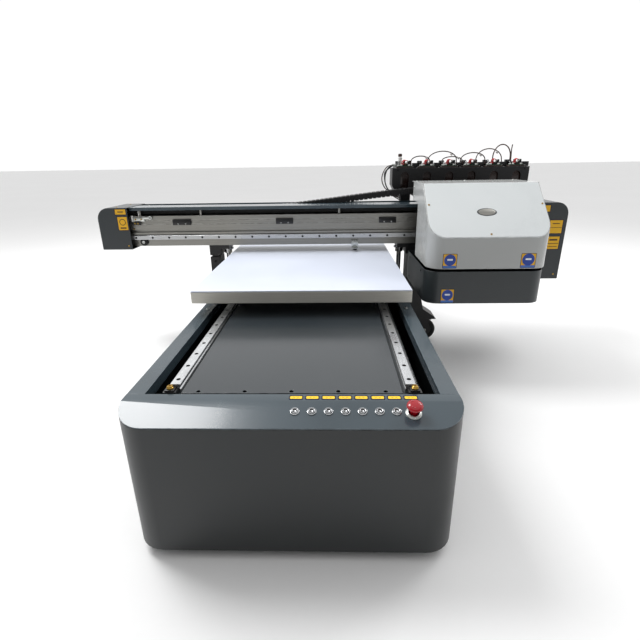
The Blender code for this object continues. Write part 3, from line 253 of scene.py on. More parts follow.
def addBox(bm, low, high, edge=0.0006, slot=0, segments=2):
    verts = bmesh.ops.create_cube(bm, size=1.0)["verts"]
    bmesh.ops.scale(bm, vec=[h - l for l, h in zip(low, high)], verts=verts)
    bmesh.ops.translate(bm, vec=[(h + l) / 2 for l, h in zip(low, high)], verts=verts)
    edges = list({e for v in verts for e in v.link_edges})
    bmesh.ops.bevel(bm, geom=edges, offset=edge, segments=segments, profile=0.5, affect="EDGES")
    markNew(bm, slot)


def moved(point, by):
    return tuple(a + b for a, b in zip(point, by))


def addBoxes(bm, rows, by=(0, 0, 0)):
    for low, high, edge, slot in rows:
        addBox(bm, moved(low, by), moved(high, by), edge, slot)


faceUp, faceFront = ((1, 0, 0), (0, 1, 0)), ((1, 0, 0), (0, 0, 1))  # a plate's right and up
plateCorner = {"steps": 5, "least": 0.00005}


def addPlate(bm, centre, right, up, width, height, thick, corner=0.002, slot=0, edge=0.00012):
    right, up = Vector(right).normalized(), Vector(up).normalized()
    out = right.cross(up)
    rings = []
    for inset, rise in ((0.0, 0.0), (0.0, thick - edge), (edge, thick)):
        ring = []
        radius = max(corner - inset, plateCorner["least"])
        for turn, (sx, sy) in zip((0, 90, 180, 270), ((1, 1), (-1, 1), (-1, -1), (1, -1))):
            for step in range(plateCorner["steps"]):
                angle = math.radians(turn + 90 / (plateCorner["steps"] - 1) * step)
                x = sx * (width / 2 - corner) + radius * math.cos(angle)
                y = sy * (height / 2 - corner) + radius * math.sin(angle)
                ring.append(Vector(centre) + right * x + up * y + out * rise)
        rings.append(ring)
    addLoft(bm, rings, slot)


def addDisc(bm, centre, radius, low, high, sides, slot):
    x, y, z = centre
    rings = [[Vector((x + radius * math.sin(math.tau * i / sides), y - h,
                      z + radius * math.cos(math.tau * i / sides)))
              for i in range(sides)] for h in (low, high)]
    addLoft(bm, rings, slot)


def makeObject(name, bm, finishNames, sharp=38.0):
    bmesh.ops.recalc_face_normals(bm, faces=bm.faces)
    bm.faces.layers.int.remove(bm.faces.layers.int["known"])
    mesh = bpy.data.meshes.new(name)
    bm.to_mesh(mesh)
    bm.free()
    mesh.transform(Matrix.Translation(origin))
    mesh.shade_smooth()
    mesh.set_sharp_from_angle(angle=math.radians(sharp))
    for finish in finishNames:
        mesh.materials.append(finishes[finish])
    piece = bpy.data.objects.new(name, mesh)
    bpy.context.scene.collection.objects.link(piece)
    return piece


def settle(piece, body, replaced=()):
    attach(piece, body)
    if replaced:
        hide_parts(*replaced)
    return piece


def makePiece(name, bm, finishNames, body, replaced=(), sharp=38.0):
    if isinstance(finishNames, str):
        finishNames = [finishNames]
    return settle(makeObject(name, bm, finishNames, sharp), body, replaced)


def bakeDown(holder):
    graph = bpy.context.evaluated_depsgraph_get()
    mesh = bpy.data.meshes.new_from_object(holder.evaluated_get(graph))
    holder.modifiers.clear()
    holder.data = mesh
    return holder


# Geometry Nodes trees for what repeats or follows a path.
def newTree(name, sockets):
    tree = bpy.data.node_groups.new(name, "GeometryNodeTree")
    tree.interface.new_socket("Geometry", in_out="INPUT", socket_type="NodeSocketGeometry")
    for label, kind in sockets:
        tree.interface.new_socket(label, in_out="INPUT", socket_type="NodeSocket" + kind)
    tree.interface.new_socket("Geometry", in_out="OUTPUT", socket_type="NodeSocketGeometry")
    return tree, addNode(tree, "NodeGroupInput").outputs


def endTree(tree, geometry, finish, spared=None):
    real = addNode(tree, "GeometryNodeRealizeInstances", {}, {"Geometry": geometry}).outputs[0]
    inputs = {"Geometry": real, "Material": finish}
    if spared is not None:
        kept = addNode(tree, "GeometryNodeMaterialSelection", {}, {"Material": spared}).outputs[0]
        inputs["Selection"] = addNode(tree, "FunctionNodeBooleanMath", {"operation": "NOT"},
                                      {0: kept}).outputs[0]
    done = addNode(tree, "GeometryNodeSetMaterial", {}, inputs).outputs[0]
    addNode(tree, "NodeGroupOutput", {}, {"Geometry": done})


def grow(name, tree, base, values):
    holder = bpy.data.objects.new(name, base)
    bpy.context.scene.collection.objects.link(holder)
    modifier = holder.modifiers.new("grow", "NODES")
    modifier.node_group = tree
    for item in tree.interface.items_tree:
        if item.item_type == "SOCKET" and item.in_out == "INPUT" and item.name in values:
            modifier[item.identifier] = values[item.name]
    return bakeDown(holder)


screwShape = {"crown": 0.84, "key": 0.48, "sides": 20, "keySides": 6}  # crown and key as shares of the head


def makeScrewTree():
    tree, given = newTree("socketScrews", [("Head radius", "Float"), ("Head height", "Float"),
                                           ("Key radius", "Float"), ("Finish", "Material"),
                                           ("Shade", "Material")])
    crown = addNode(tree, "ShaderNodeMath", {"operation": "MULTIPLY"},
                    {0: given["Head radius"], 1: screwShape["crown"]}).outputs[0]
    head = addNode(tree, "GeometryNodeMeshCone", {},
                   {"Vertices": screwShape["sides"], "Radius Bottom": given["Head radius"],
                    "Radius Top": crown, "Depth": given["Head height"]}).outputs[0]
    key = addNode(tree, "GeometryNodeMeshCylinder", {},
                  {"Vertices": screwShape["keySides"], "Radius": given["Key radius"],
                   "Depth": given["Head height"]}).outputs[0]
    key = addNode(tree, "GeometryNodeSetMaterial", {},
                  {"Geometry": key, "Material": given["Shade"]}).outputs[0]
    lift = addNode(tree, "ShaderNodeCombineXYZ", {}, {"Z": given["Head height"]}).outputs[0]
    key = addNode(tree, "GeometryNodeTransform", {}, {"Geometry": key, "Translation": lift}).outputs[0]
    cut = addNode(tree, "GeometryNodeMeshBoolean", {"operation": "DIFFERENCE", "solver": "EXACT"},
                  {"Mesh 1": head, "Mesh 2": key}).outputs[0]
    euler = addNode(tree, "GeometryNodeInputNamedAttribute", {"data_type": "FLOAT_VECTOR"},
                    {"Name": "turn"}).outputs[0]
    turn = addNode(tree, "FunctionNodeEulerToRotation", {}, {0: euler}).outputs[0]
    placed = addNode(tree, "GeometryNodeInstanceOnPoints", {},
                     {"Points": given["Geometry"], "Instance": cut, "Rotation": turn}).outputs[0]
    endTree(tree, placed, given["Finish"], given["Shade"])
    return tree


def makeTubeTree():
    tree, given = newTree("sweptTubes", [("Tube radius", "Float"), ("Step", "Float"), ("Sides", "Int"),
                                         ("Finish", "Material")])
    line = addNode(tree, "GeometryNodeMeshToCurve", {}, {"Mesh": given["Geometry"]}).outputs[0]
    line = addNode(tree, "GeometryNodeCurveSplineType", {"spline_type": "CATMULL_ROM"},
                   {"Curve": line}).outputs[0]
    line = addNode(tree, "GeometryNodeResampleCurve", {"mode": "LENGTH"}, {"Curve": line,
                                                                          "Length": given["Step"]}).outputs[0]
    ring = addNode(tree, "GeometryNodeCurvePrimitiveCircle", {}, {"Resolution": given["Sides"],
                                                                  "Radius": given["Tube radius"]}).outputs[0]
    tube = addNode(tree, "GeometryNodeCurveToMesh", {}, {"Curve": line, "Profile Curve": ring,
                                                         "Fill Caps": True}).outputs[0]
    endTree(tree, tube, given["Finish"])
    return tree


def makeLinkTree():
    tree, given = newTree("chainLinks", [("Link", "Object"), ("Pitch", "Float"), ("Finish", "Material")])
    line = addNode(tree, "GeometryNodeMeshToCurve", {}, {"Mesh": given["Geometry"]}).outputs[0]
    line = addNode(tree, "GeometryNodeResampleCurve", {"mode": "LENGTH"}, {"Curve": line,
                                                                          "Length": given["Pitch"]}).outputs[0]
    along = addNode(tree, "GeometryNodeInputTangent").outputs[0]
    turn = addNode(tree, "FunctionNodeAlignRotationToVector", {"axis": "X"}, {"Vector": along}).outputs[0]
    part = addNode(tree, "GeometryNodeObjectInfo", {}, {"Object": given["Link"]}).outputs["Geometry"]
    placed = addNode(tree, "GeometryNodeInstanceOnPoints", {}, {"Points": line, "Instance": part,
                                                                "Rotation": turn}).outputs[0]
    endTree(tree, placed, given["Finish"])
    return tree


thread = {"turnSteps": 14, "ridgeSides": 4, "coreSides": 20}


def makeThreadTree():
    tree, given = newTree("leadScrew", [("Start", "Vector"), ("Turn", "Vector"), ("Length", "Float"),
                                        ("Core radius", "Float"), ("Crest", "Float"), ("Turns", "Float"),
                                        ("Finish", "Material")])
    coil = addNode(tree, "GeometryNodeCurveSpiral", {}, {"Resolution": thread["turnSteps"],
                                                         "Rotations": given["Turns"],
                                                         "Start Radius": given["Core radius"],
                                                         "End Radius": given["Core radius"],
                                                         "Height": given["Length"]}).outputs[0]
    ridge = addNode(tree, "GeometryNodeCurvePrimitiveCircle", {},
                    {"Resolution": thread["ridgeSides"], "Radius": given["Crest"]}).outputs[0]
    coil = addNode(tree, "GeometryNodeCurveToMesh", {}, {"Curve": coil, "Profile Curve": ridge,
                                                         "Fill Caps": True}).outputs[0]
    core = addNode(tree, "GeometryNodeMeshCylinder", {}, {"Vertices": thread["coreSides"],
                                                          "Radius": given["Core radius"],
                                                          "Depth": given["Length"]}).outputs[0]
    half = addNode(tree, "ShaderNodeMath", {"operation": "MULTIPLY"}, {0: given["Length"], 1: 0.5}).outputs[0]
    lift = addNode(tree, "ShaderNodeCombineXYZ", {}, {"Z": half}).outputs[0]
    core = addNode(tree, "GeometryNodeTransform", {}, {"Geometry": core, "Translation": lift}).outputs[0]
    joined = addNode(tree, "GeometryNodeJoinGeometry", {}, {"Geometry": coil})
    tree.links.new(core, joined.inputs[0])
    turn = addNode(tree, "FunctionNodeEulerToRotation", {}, {0: given["Turn"]}).outputs[0]
    moved = addNode(tree, "GeometryNodeTransform", {}, {"Geometry": joined.outputs[0], "Rotation": turn,
                                                        "Translation": given["Start"]}).outputs[0]
    endTree(tree, moved, given["Finish"])
    return tree


railDrill = {"sides": 16, "merge": 0.00001}


def makeRailTree():
    tree, given = newTree("boredRail", [("Run", "Vector"), ("First hole", "Vector"), ("Hole step", "Vector"),
                                        ("Hole turn", "Vector"), ("Holes", "Int"), ("Hole radius", "Float"),
                                        ("Hole depth", "Float"), ("Finish", "Material"),
                                        ("Shade", "Material")])
    drawn = addNode(tree, "GeometryNodeExtrudeMesh", {"mode": "FACES"},
                    {"Mesh": given["Geometry"], "Offset": given["Run"], "Offset Scale": 1.0,
                     "Individual": False})
    back = addNode(tree, "GeometryNodeFlipFaces", {}, {"Mesh": given["Geometry"]}).outputs[0]
    joined = addNode(tree, "GeometryNodeJoinGeometry", {}, {"Geometry": drawn.outputs[0]})
    tree.links.new(back, joined.inputs[0])
    bar = addNode(tree, "GeometryNodeMergeByDistance", {},
                  {"Geometry": joined.outputs[0], "Distance": railDrill["merge"]}).outputs[0]
    spots = addNode(tree, "GeometryNodeMeshLine", {},
                    {"Count": given["Holes"], "Start Location": given["First hole"],
                                                       "Offset": given["Hole step"]}).outputs[0]
    drill = addNode(tree, "GeometryNodeMeshCylinder", {}, {"Vertices": railDrill["sides"],
                                                           "Radius": given["Hole radius"],
                                                           "Depth": given["Hole depth"]}).outputs[0]
    drill = addNode(tree, "GeometryNodeSetMaterial", {},
                    {"Geometry": drill, "Material": given["Shade"]}).outputs[0]
    turn = addNode(tree, "FunctionNodeEulerToRotation", {}, {0: given["Hole turn"]}).outputs[0]
    drills = addNode(tree, "GeometryNodeInstanceOnPoints", {}, {"Points": spots, "Instance": drill,
                                                                "Rotation": turn}).outputs[0]
    drills = addNode(tree, "GeometryNodeRealizeInstances", {}, {"Geometry": drills}).outputs[0]
    cut = addNode(tree, "GeometryNodeMeshBoolean", {"operation": "DIFFERENCE", "solver": "EXACT"},
                  {"Mesh 1": bar, "Mesh 2": drills}).outputs[0]
    endTree(tree, cut, given["Finish"], given["Shade"])
    return tree


def makeSlotTree():
    tree, given = newTree("slottedSheet", [("Slot places", "Object"), ("Slot size", "Vector"),
                                           ("Finish", "Material")])
    spots = addNode(tree, "GeometryNodeObjectInfo", {}, {"Object": given["Slot places"]}).outputs["Geometry"]
    cutter = addNode(tree, "GeometryNodeMeshCube", {}, {"Size": given["Slot size"]}).outputs[0]
    cutters = addNode(tree, "GeometryNodeInstanceOnPoints", {},
                      {"Points": spots, "Instance": cutter}).outputs[0]
    cutters = addNode(tree, "GeometryNodeRealizeInstances", {}, {"Geometry": cutters}).outputs[0]
    cut = addNode(tree, "GeometryNodeMeshBoolean", {"operation": "DIFFERENCE", "solver": "EXACT"},
                  {"Mesh 1": given["Geometry"], "Mesh 2": cutters}).outputs[0]
    endTree(tree, cut, given["Finish"])
    return tree


screwTree, tubeTree, linkTree = makeScrewTree(), makeTubeTree(), makeLinkTree()
threadTree, railTree, slotTree = makeThreadTree(), makeRailTree(), makeSlotTree()
print("node trees made")


def pointMesh(name, places):
    mesh = bpy.data.meshes.new(name)
    mesh.from_pydata([Vector(p) + origin for p, _ in places], [], [])
    turn = mesh.attributes.new("turn", "FLOAT_VECTOR", "POINT")
    for i, (_, facing) in enumerate(places):
        turn.data[i].vector = Vector(facing).to_track_quat("Z", "Y").to_euler()
    return mesh


def pathMesh(name, paths):
    points, edges = [], []
    for path in paths:
        edges += [(len(points) + i, len(points) + i + 1) for i in range(len(path) - 1)]
        points += [Vector(p) + origin for p in path]
    mesh = bpy.data.meshes.new(name)
    mesh.from_pydata(points, edges, [])
    return mesh


def addScrews(name, body, places, radius, height, finish="zincPlate"):
    piece = grow(name, screwTree, pointMesh(name, places),
                 {"Head radius": radius, "Head height": height, "Key radius": radius * screwShape["key"],
                  "Finish": finishes[finish], "Shade": finishes["holeShade"]})
    return settle(piece, body)


tubeSharp = 50


def addTubes(name, body, paths, radius, finish, step=0.004, sides=10, replaced=()):
    piece = grow(name, tubeTree, pathMesh(name, paths),
                 {"Tube radius": radius, "Step": step, "Sides": sides, "Finish": finishes[finish]})
    piece.data.shade_smooth()
    piece.data.set_sharp_from_angle(angle=math.radians(tubeSharp))
    return settle(piece, body, replaced)


# Sheet and solid parts: the frame's own shapes, merged, with rounded edges that can wear.
edging = {"merge": 0.000005, "flat": 0.4, "fold": 30, "segments": 2, "smooth": 38.0}


def weld(bm):
    bmesh.ops.remove_doubles(bm, verts=bm.verts, dist=edging["merge"])
    bmesh.ops.dissolve_limit(bm, angle_limit=math.radians(edging["flat"]), verts=bm.verts, edges=bm.edges)


def cutSlots(bm, node, finish, slots):
    mesh = bpy.data.meshes.new(node)
    bm.to_mesh(mesh)
    bm.free()
    places = pointMesh(node + "_spots", [(p, (0, 0, 1)) for p in slots["at"]])
    spots = bpy.data.objects.new(node + "_spots", places)
    bpy.context.scene.collection.objects.link(spots)
    cut = grow(node + "_cut", slotTree, mesh, {"Slot places": spots, "Slot size": slots["size"],
                                               "Finish": finishes[finish]})
    bm = bmesh.new()
    bm.from_mesh(cut.data)
    bpy.data.objects.remove(cut)
    bpy.data.objects.remove(spots)
    weld(bm)
    return bm


def refine(node, body, width, finish, slots=None):
    bm = bmesh.new()
    bm.from_mesh(nodes[node].data)
    weld(bm)
    bmesh.ops.recalc_face_normals(bm, faces=bm.faces)
    if slots:
        bm = cutSlots(bm, node, finish, slots)
    wear = bm.faces.layers.float.new("edgeWear")
    sharp = [e for e in bm.edges if e.is_manifold and e.calc_face_angle(0.0) > math.radians(edging["fold"])]
    shortest = min([e.calc_length() for e in sharp] + [1.0])
    rounded = bmesh.ops.bevel(bm, geom=sharp, offset=width, segments=edging["segments"], profile=0.5,
                              affect="EDGES", clamp_overlap=shortest > width * 2)
    for face in rounded["faces"]:
        face[wear] = 1.0
    mesh = bpy.data.meshes.new(node + "_finished")
    bm.to_mesh(mesh)
    bm.free()
    mesh.shade_smooth()
    mesh.set_sharp_from_angle(angle=math.radians(edging["smooth"]))
    mesh.materials.clear()
    mesh.materials.append(finishes[finish])
    piece = bpy.data.objects.new(node + "_finished", mesh)
    bpy.context.scene.collection.objects.link(piece)
    level = piece.modifiers.new("level", "WEIGHTED_NORMAL")
    level.keep_sharp = True
    level.weight = 100
    bakeDown(piece)
    for polygon in piece.data.polygons:
        polygon.material_index = 0
    settle(piece, body, (node,))


sideVent = {"x": 0.3125, "first": 1.50, "pitch": 0.016, "count": 12, "z": 0.16, "size": (0.02, 0.006, 0.10),
            "lipX": 0.31400, "lipOffset": 0.0044, "lip": (0.0014, 0.106, 0.0010), "lipCorner": 0.0006}
tankVent = {"x": 0.870, "first": 1.240, "pitch": 0.008, "count": 6, "z": 0.632, "size": (0.012, 0.003, 0.05)}
lampVent = {"x": 0.69, "y": 0.8500, "first": 0.405, "pitch": 0.006, "count": 10,
            "size": (0.05, 0.008, 0.0026)}
vents = {
    "base_shell": {"at": [(side * sideVent["x"], sideVent["first"] + sideVent["pitch"] * i, sideVent["z"])
                          for side in (-1, 1) for i in range(sideVent["count"])], "size": sideVent["size"]},
    "ink_tank_box": {"at": [(tankVent["x"], tankVent["first"] + tankVent["pitch"] * i, tankVent["z"])
                            for i in range(tankVent["count"])], "size": tankVent["size"]},
    "uv_lamp": {"at": [(lampVent["x"], lampVent["y"], lampVent["first"] + lampVent["pitch"] * i)
                       for i in range(lampVent["count"])], "size": lampVent["size"]},
}
refined = [  # node, body, width of its rounded edges, finish
    ("base_shell", "base", 0.0012, "deepSlateCoat"),
    ("front_control_panel", "base", 0.0008, "deckPowderCoat"),
    ("side_strip_left", "base", 0.0007, "deckPowderCoat"),
    ("side_strip_right", "base", 0.0007, "deckPowderCoat"),
    ("centre_cover_plate", "base", 0.0006, "rubbedCoverCoat"),
    ("electronics_box", "base", 0.002, "lightGreyEnamel"),
    ("rail_girder_left", "base", 0.0008, "slatePowderCoat"),
    ("rail_girder_right", "base", 0.0008, "slatePowderCoat"),
    ("lift_column_left", "base", 0.0010, "blackPowderCoat"),
    ("lift_column_right", "base", 0.0010, "blackPowderCoat"),
    ("table_motor", "base", 0.003, "mouldedBlack"),
    ("table_core", "table", 0.0007, "drawnAluminium"),
    ("table_top", "table", 0.0008, "whiteLaminate"),
    ("table_runner_left", "table", 0.0008, "turnedSteel"),
    ("table_runner_right", "table", 0.0008, "turnedSteel"),
    ("table_nut_bracket", "table", 0.0012, "turnedSteel"),
    ("beam_extrusion", "beam", 0.0004, "clearAnodised"),
    ("beam_top_cover", "beam", 0.0006, "deckPowderCoat"),
    ("left_end_cover", "beam", 0.0009, "slatePowderCoat"),
    ("right_end_cover", "beam", 0.0009, "slatePowderCoat"),
    ("beam_bracket_left", "beam", 0.0010, "blackPowderCoat"),
    ("beam_bracket_right", "beam", 0.0010, "blackPowderCoat"),
    ("capping_housing", "beam", 0.0008, "slatePowderCoat"),
    ("ink_tank_box", "beam", 0.0006, "blackPowderCoat"),
    ("carriage_motor", "beam", 0.003, "mouldedBlack"),
    ("carriage_belt", "beam", 0.0003, "tyreRubber"),
    ("idler_pulley", "idler_pulley", 0.0006, "turnedSteel"),
    ("drive_pulley", "drive_pulley", 0.0006, "turnedSteel"),
    ("cap_tray", "cap_tray", 0.002, "tyreRubber"),
    # the hood's darker enamel is painted shade
    ("carriage_cover", "carriage", 0.0006, "greyEnamelPaintedShade"),
    ("carriage_lid", "carriage", 0.0008, "lightGreyEnamel"),
    ("carriage_back_plate", "carriage", 0.0006, "clearAnodised"),
    ("carriage_slider", "carriage", 0.0008, "turnedSteel"),
    ("head_block", "carriage", 0.002, "mouldedBlack"),
    ("uv_lamp", "carriage", 0.0012, "clearAnodised"),
    ("caster_fork_left", "fork_left", 0.0008, "blackPowderCoat"),
    ("caster_fork_right", "fork_right", 0.0008, "blackPowderCoat"),
]
refined += [(f"foot_{row}_{side}", "base", 0.0008, "tyreRubber") for row in ("front", "rear")
            for side in ("left", "right")]
for node, body, width, finish in refined:
    refine(node, body, width, finish, vents.get(node))
print("sheet and solid parts rounded:", len(refined))


# Rails and lead screws.
tableRail = {"x": 0.2275, "width": 0.020, "height": 0.0175, "bottom": 0.2915, "start": 0.107, "end": 1.70,
             "pitch": 0.060, "margin": 0.020, "bore": 0.0045, "depth": 0.010, "boltHead": (0.0038, 0.0030)}
beamRail = {"z": 0.43565, "width": 0.0157, "depth": 0.013, "root": 1.0757, "left": -0.722, "right": 0.795,
            "pitch": 0.066, "margin": 0.024, "holes": 23, "bore": 0.0042, "boreDepth": 0.010}
# shares of width and height
railShape = {"waist": 0.4, "chamfer": 0.0006, "ledges": (0.37, 0.48, 0.62, 0.75)}


def railSection(width, height):
    half, waist, chamfer = width / 2, railShape["waist"] * width, railShape["chamfer"]
    a, b, c, d = (share * height for share in railShape["ledges"])
    right = [(half, 0.0), (half, a), (waist, b), (waist, c), (half, d), (half, height - chamfer),
             (half - chamfer, height)]
    return right + [(-u, v) for u, v in reversed(right)]


def sectionMesh(name, points):
    mesh = bpy.data.meshes.new(name)
    mesh.from_pydata([Vector(p) + origin for p in points], [], [list(range(len(points)))])
    return mesh


railSpan = tableRail["end"] - tableRail["start"]
railHoles = int((railSpan - tableRail["margin"]) / tableRail["pitch"]) + 1
railTop = tableRail["bottom"] + tableRail["height"]
firstHole = tableRail["start"] + tableRail["margin"]
for side, sign in (("left", -1), ("right", 1)):
    x = sign * tableRail["x"]
    section = [(x - u, tableRail["start"], tableRail["bottom"] + v)
               for u, v in railSection(tableRail["width"], tableRail["height"])]
    rail = grow(f"table_rail_{side}_ground", railTree, sectionMesh("tableRail", section),
                {"Run": (0, railSpan, 0), "First hole": Vector((x, firstHole, railTop)) + origin,
                 "Hole step": (0, tableRail["pitch"], 0), "Hole turn": (0, 0, 0), "Holes": railHoles,
                 "Hole radius": tableRail["bore"], "Hole depth": tableRail["depth"],
                 "Finish": finishes["groundRailSteel"], "Shade": finishes["holeShade"]})
    settle(rail, "base", (f"table_rail_{side}",))
    bolts = [((x, firstHole + i * tableRail["pitch"], railTop - tableRail["depth"] / 2), (0, 0, 1))
             for i in range(railHoles)]
    addScrews(f"table_rail_{side}_bolts", "base", bolts, *tableRail["boltHead"], "blackOxideSteel")
section = [(beamRail["left"], beamRail["root"] - v, beamRail["z"] - u)
           for u, v in railSection(beamRail["width"], beamRail["depth"])]
beamHole = (beamRail["left"] + beamRail["margin"], beamRail["root"] - beamRail["depth"], beamRail["z"])
rail = grow("beam_rail_ground", railTree, sectionMesh("beamRail", section),
            {"Run": (beamRail["right"] - beamRail["left"], 0, 0), "First hole": Vector(beamHole) + origin,
             "Hole step": (beamRail["pitch"], 0, 0), "Hole turn": (math.pi / 2, 0, 0),
             "Holes": beamRail["holes"], "Hole radius": beamRail["bore"], "Hole depth": beamRail["boreDepth"],
             "Finish": finishes["beamRailSteel"], "Shade": finishes["holeShade"]})
settle(rail, "beam", ("beam_rail",))

leadScrew = {"x": 0.261, "z": 0.245, "start": 0.120, "end": 1.6597, "core": 0.0068, "crest": 0.0012,
             "pitch": 0.008}
liftScrew = {"x": 0.3485, "y": 1.120, "low": 0.2003, "high": 0.500, "core": 0.0088, "crest": 0.0012,
             "pitch": 0.005}


def addLeadScrew(node, size, start, turn, length):
    screw = grow(f"{node}_thread", threadTree, pointMesh(node, [((0, 0, 0), (0, 0, 1))]),
                 {"Start": Vector(start) + origin, "Turn": turn, "Length": length,
                  "Core radius": size["core"],
                  "Crest": size["crest"], "Turns": length / size["pitch"], "Finish": finishes["turnedSteel"]})
    settle(screw, node, (node,))


addLeadScrew("table_screw", leadScrew, (leadScrew["x"], leadScrew["start"], leadScrew["z"]),
             (-math.pi / 2, 0, 0), leadScrew["end"] - leadScrew["start"])
for side, sign in (("left", -1), ("right", 1)):
    addLeadScrew(f"lift_screw_{side}", liftScrew, (sign * liftScrew["x"], liftScrew["y"], liftScrew["low"]),
                 (0, 0, 0), liftScrew["high"] - liftScrew["low"] - liftScrew["crest"])
print("rails and lead screws made")


# Control panel: buttons, stop button, name strips.
panel = {"height": 0.3007, "drop": 0.0191, "slope": 0.0598}
panelAngle = math.atan2(panel["drop"], panel["slope"])
panelOut = Vector((0, -math.sin(panelAngle), math.cos(panelAngle)))
roundSharp = 60  # degrees past which a turned piece shows an edge
buttons = {"first": 0.0108, "pitch": 0.0302, "count": 7, "y": 0.0355, "radius": 0.0062, "proud": 0.0045,
           "stem": 0.014, "sides": 36,
           "wall": [(0.0, 0.45), (0.0004, 0.8)],  # inset from the edge, share of the height
           # inset from the edge, drop from the top
           "crown": [(0.0011, 0.0), (0.0016, 0.0002), (0.0026, 0.0016)],
           "dish": [(0.35, 0.0027), (0.0, 0.0029)],  # share of the radius, drop from the top
           # ring: a black annulus in the cap's dish, a painted dark reflection of the surroundings in the
           # polished steel
           "ring": [(0.36, 0.0029), (0.62, 0.0022), (0.62, 0.0012), (0.36, 0.0012)]}
bezel = {"inner": 0.0069, "outer": 0.0085, "height": 0.0024, "gap": 0.0001,
         "wall": [(0.0, 0.45), (0.0003, 0.8), (0.0008, 1.0)],  # inset from the outside, share of the height
         "bore": [(0.0003, 1.0), (0.0, 0.7)]}  # step out from the bore, share of the height


def onPanel(x, y):
    return Vector((x, y, panel["height"] - panel["drop"] * (1 - y / panel["slope"])))


bezelSection = [(bezel["inner"], bezel["gap"]), (bezel["outer"], bezel["gap"])]
bezelSection += [(bezel["outer"] - inset, bezel["height"] * share) for inset, share in bezel["wall"]]
bezelSection += [(bezel["inner"] + step, bezel["height"] * share) for step, share in bezel["bore"]]
r, p = buttons["radius"], buttons["proud"]
capSection = [(0, -buttons["stem"]), (r, -buttons["stem"])]
capSection += [(r - inset, p * share) for inset, share in buttons["wall"]]
capSection += [(r - inset, p - drop) for inset, drop in buttons["crown"]]
capSection += [(r * share, p - drop) for share, drop in buttons["dish"]]
paintedReflectionRing = [(r * share, p - drop) for share, drop in buttons["ring"]]
bezels = bmesh.new()
for i in range(buttons["count"]):
    centre = onPanel(buttons["first"] + i * buttons["pitch"], buttons["y"])
    addLathe(bezels, bezelSection, centre, panelOut, buttons["sides"], ring=True)
    cap = bmesh.new()
    addLathe(cap, capSection, centre, panelOut, buttons["sides"])
    # The cap's black ring, in holeShade, is a painted dark reflection in the polished steel.
    addLathe(cap, paintedReflectionRing, centre, panelOut, buttons["sides"], 1, ring=True)
    makePiece(f"button_{i + 1}_cap", cap, ["polishedSteel", "holeShade"], f"button_{i + 1}",
              (f"button_{i + 1}",), roundSharp)
makePiece("button_bezels", bezels, "polishedSteel", "base", (), roundSharp)

stop = {"x": 0.2213, "y": 0.0320, "radius": 0.0145, "proud": 0.026, "stem": 0.020, "neck": 0.00725,
        "sides": 48,
        "throat": [(0.0, 0.0112), (0.001, 0.0102)],  # step out from the neck, drop from the top
        "rim": [(0.003, 0.0100), (0.0012, 0.0092), (0.0, 0.0070), (0.0002, 0.0052), (0.0014, 0.0034),
                (0.0036, 0.0019), (0.0060, 0.0009)],  # inset from the rim, drop from the top
        "crown": [(0.35, 0.0003), (0.0, 0.0)],  # share of the radius, drop from the top
        "marks": 3, "markShare": 0.55, "markDrop": 0.0014, "markSize": (0.0055, 0.0016, 0.0010),
        "markCorner": 0.0007,
        "collar": [(0.0095, 0.0001), (0.0146, 0.0001), (0.0146, 0.0020), (0.0138, 0.0028), (0.0130, 0.0032),
                   (0.0130, 0.0042), (0.0123, 0.0050), (0.0098, 0.0050), (0.0095, 0.0044)], "collarSharp": 50}
centre = onPanel(stop["x"], stop["y"])
r, p = stop["radius"], stop["proud"]
headSection = [(0, -stop["stem"]), (stop["neck"], -stop["stem"])]
headSection += [(stop["neck"] + step, p - drop) for step, drop in stop["throat"]]
headSection += [(r - inset, p - drop) for inset, drop in stop["rim"]]
headSection += [(r * share, p - drop) for share, drop in stop["crown"]]
head = bmesh.new()
addLathe(head, headSection, centre, panelOut, stop["sides"])
for i in range(stop["marks"]):  # raised turning marks
    angle = math.tau * i / stop["marks"]
    side = Vector((math.cos(angle), math.sin(angle) * math.cos(panelAngle),
                   math.sin(angle) * math.sin(panelAngle)))
    addPlate(head, centre + side * (r * stop["markShare"]) + panelOut * (p - stop["markDrop"]),
             panelOut.cross(side), -side, *stop["markSize"], stop["markCorner"])
makePiece("estop_head", head, "mouldedRed", "estop", ("estop_button",), roundSharp)
collar = bmesh.new()
addLathe(collar, stop["collar"], centre, panelOut, stop["sides"], ring=True)
makePiece("estop_collar", collar, "zincPlate", "base", (), stop["collarSharp"])

strips = {"y": 0.0709, "width": 0.0262, "height": 0.0156, "side": 0.0019, "edge": 0.0031, "count": 8,
          "lift": 0.00002, "thick": 0.00028, "corner": 0.0030, "faceThick": 0.00040, "faceCorner": 0.0020,
          "dashes": (-0.0035, 0.0035), "dashLift": 0.0003, "dash": (0.0036, 0.0011, 0.00016),
          "dashCorner": 0.0004, "dashEdge": 0.00004}
tags = bmesh.new()
for i in range(strips["count"]):
    x = buttons["first"] + i * buttons["pitch"]
    at = (x, strips["y"], panel["height"] + strips["lift"])
    addPlate(tags, at, *faceUp, strips["width"], strips["height"], strips["thick"], strips["corner"])
    addPlate(tags, at, *faceUp, strips["width"] - 2 * strips["side"], strips["height"] - 2 * strips["edge"],
             strips["faceThick"], strips["faceCorner"], 1)
    for dx in strips["dashes"]:  # two plain dashes, not lettering
        addPlate(tags, (x + dx, strips["y"], panel["height"] + strips["dashLift"]), *faceUp, *strips["dash"],
                 strips["dashCorner"], 2, strips["dashEdge"])
makePiece("panel_name_strips", tags, ["navyVinyl", "brightYellowVinyl", "brownInk"], "base")
print("control panel made")

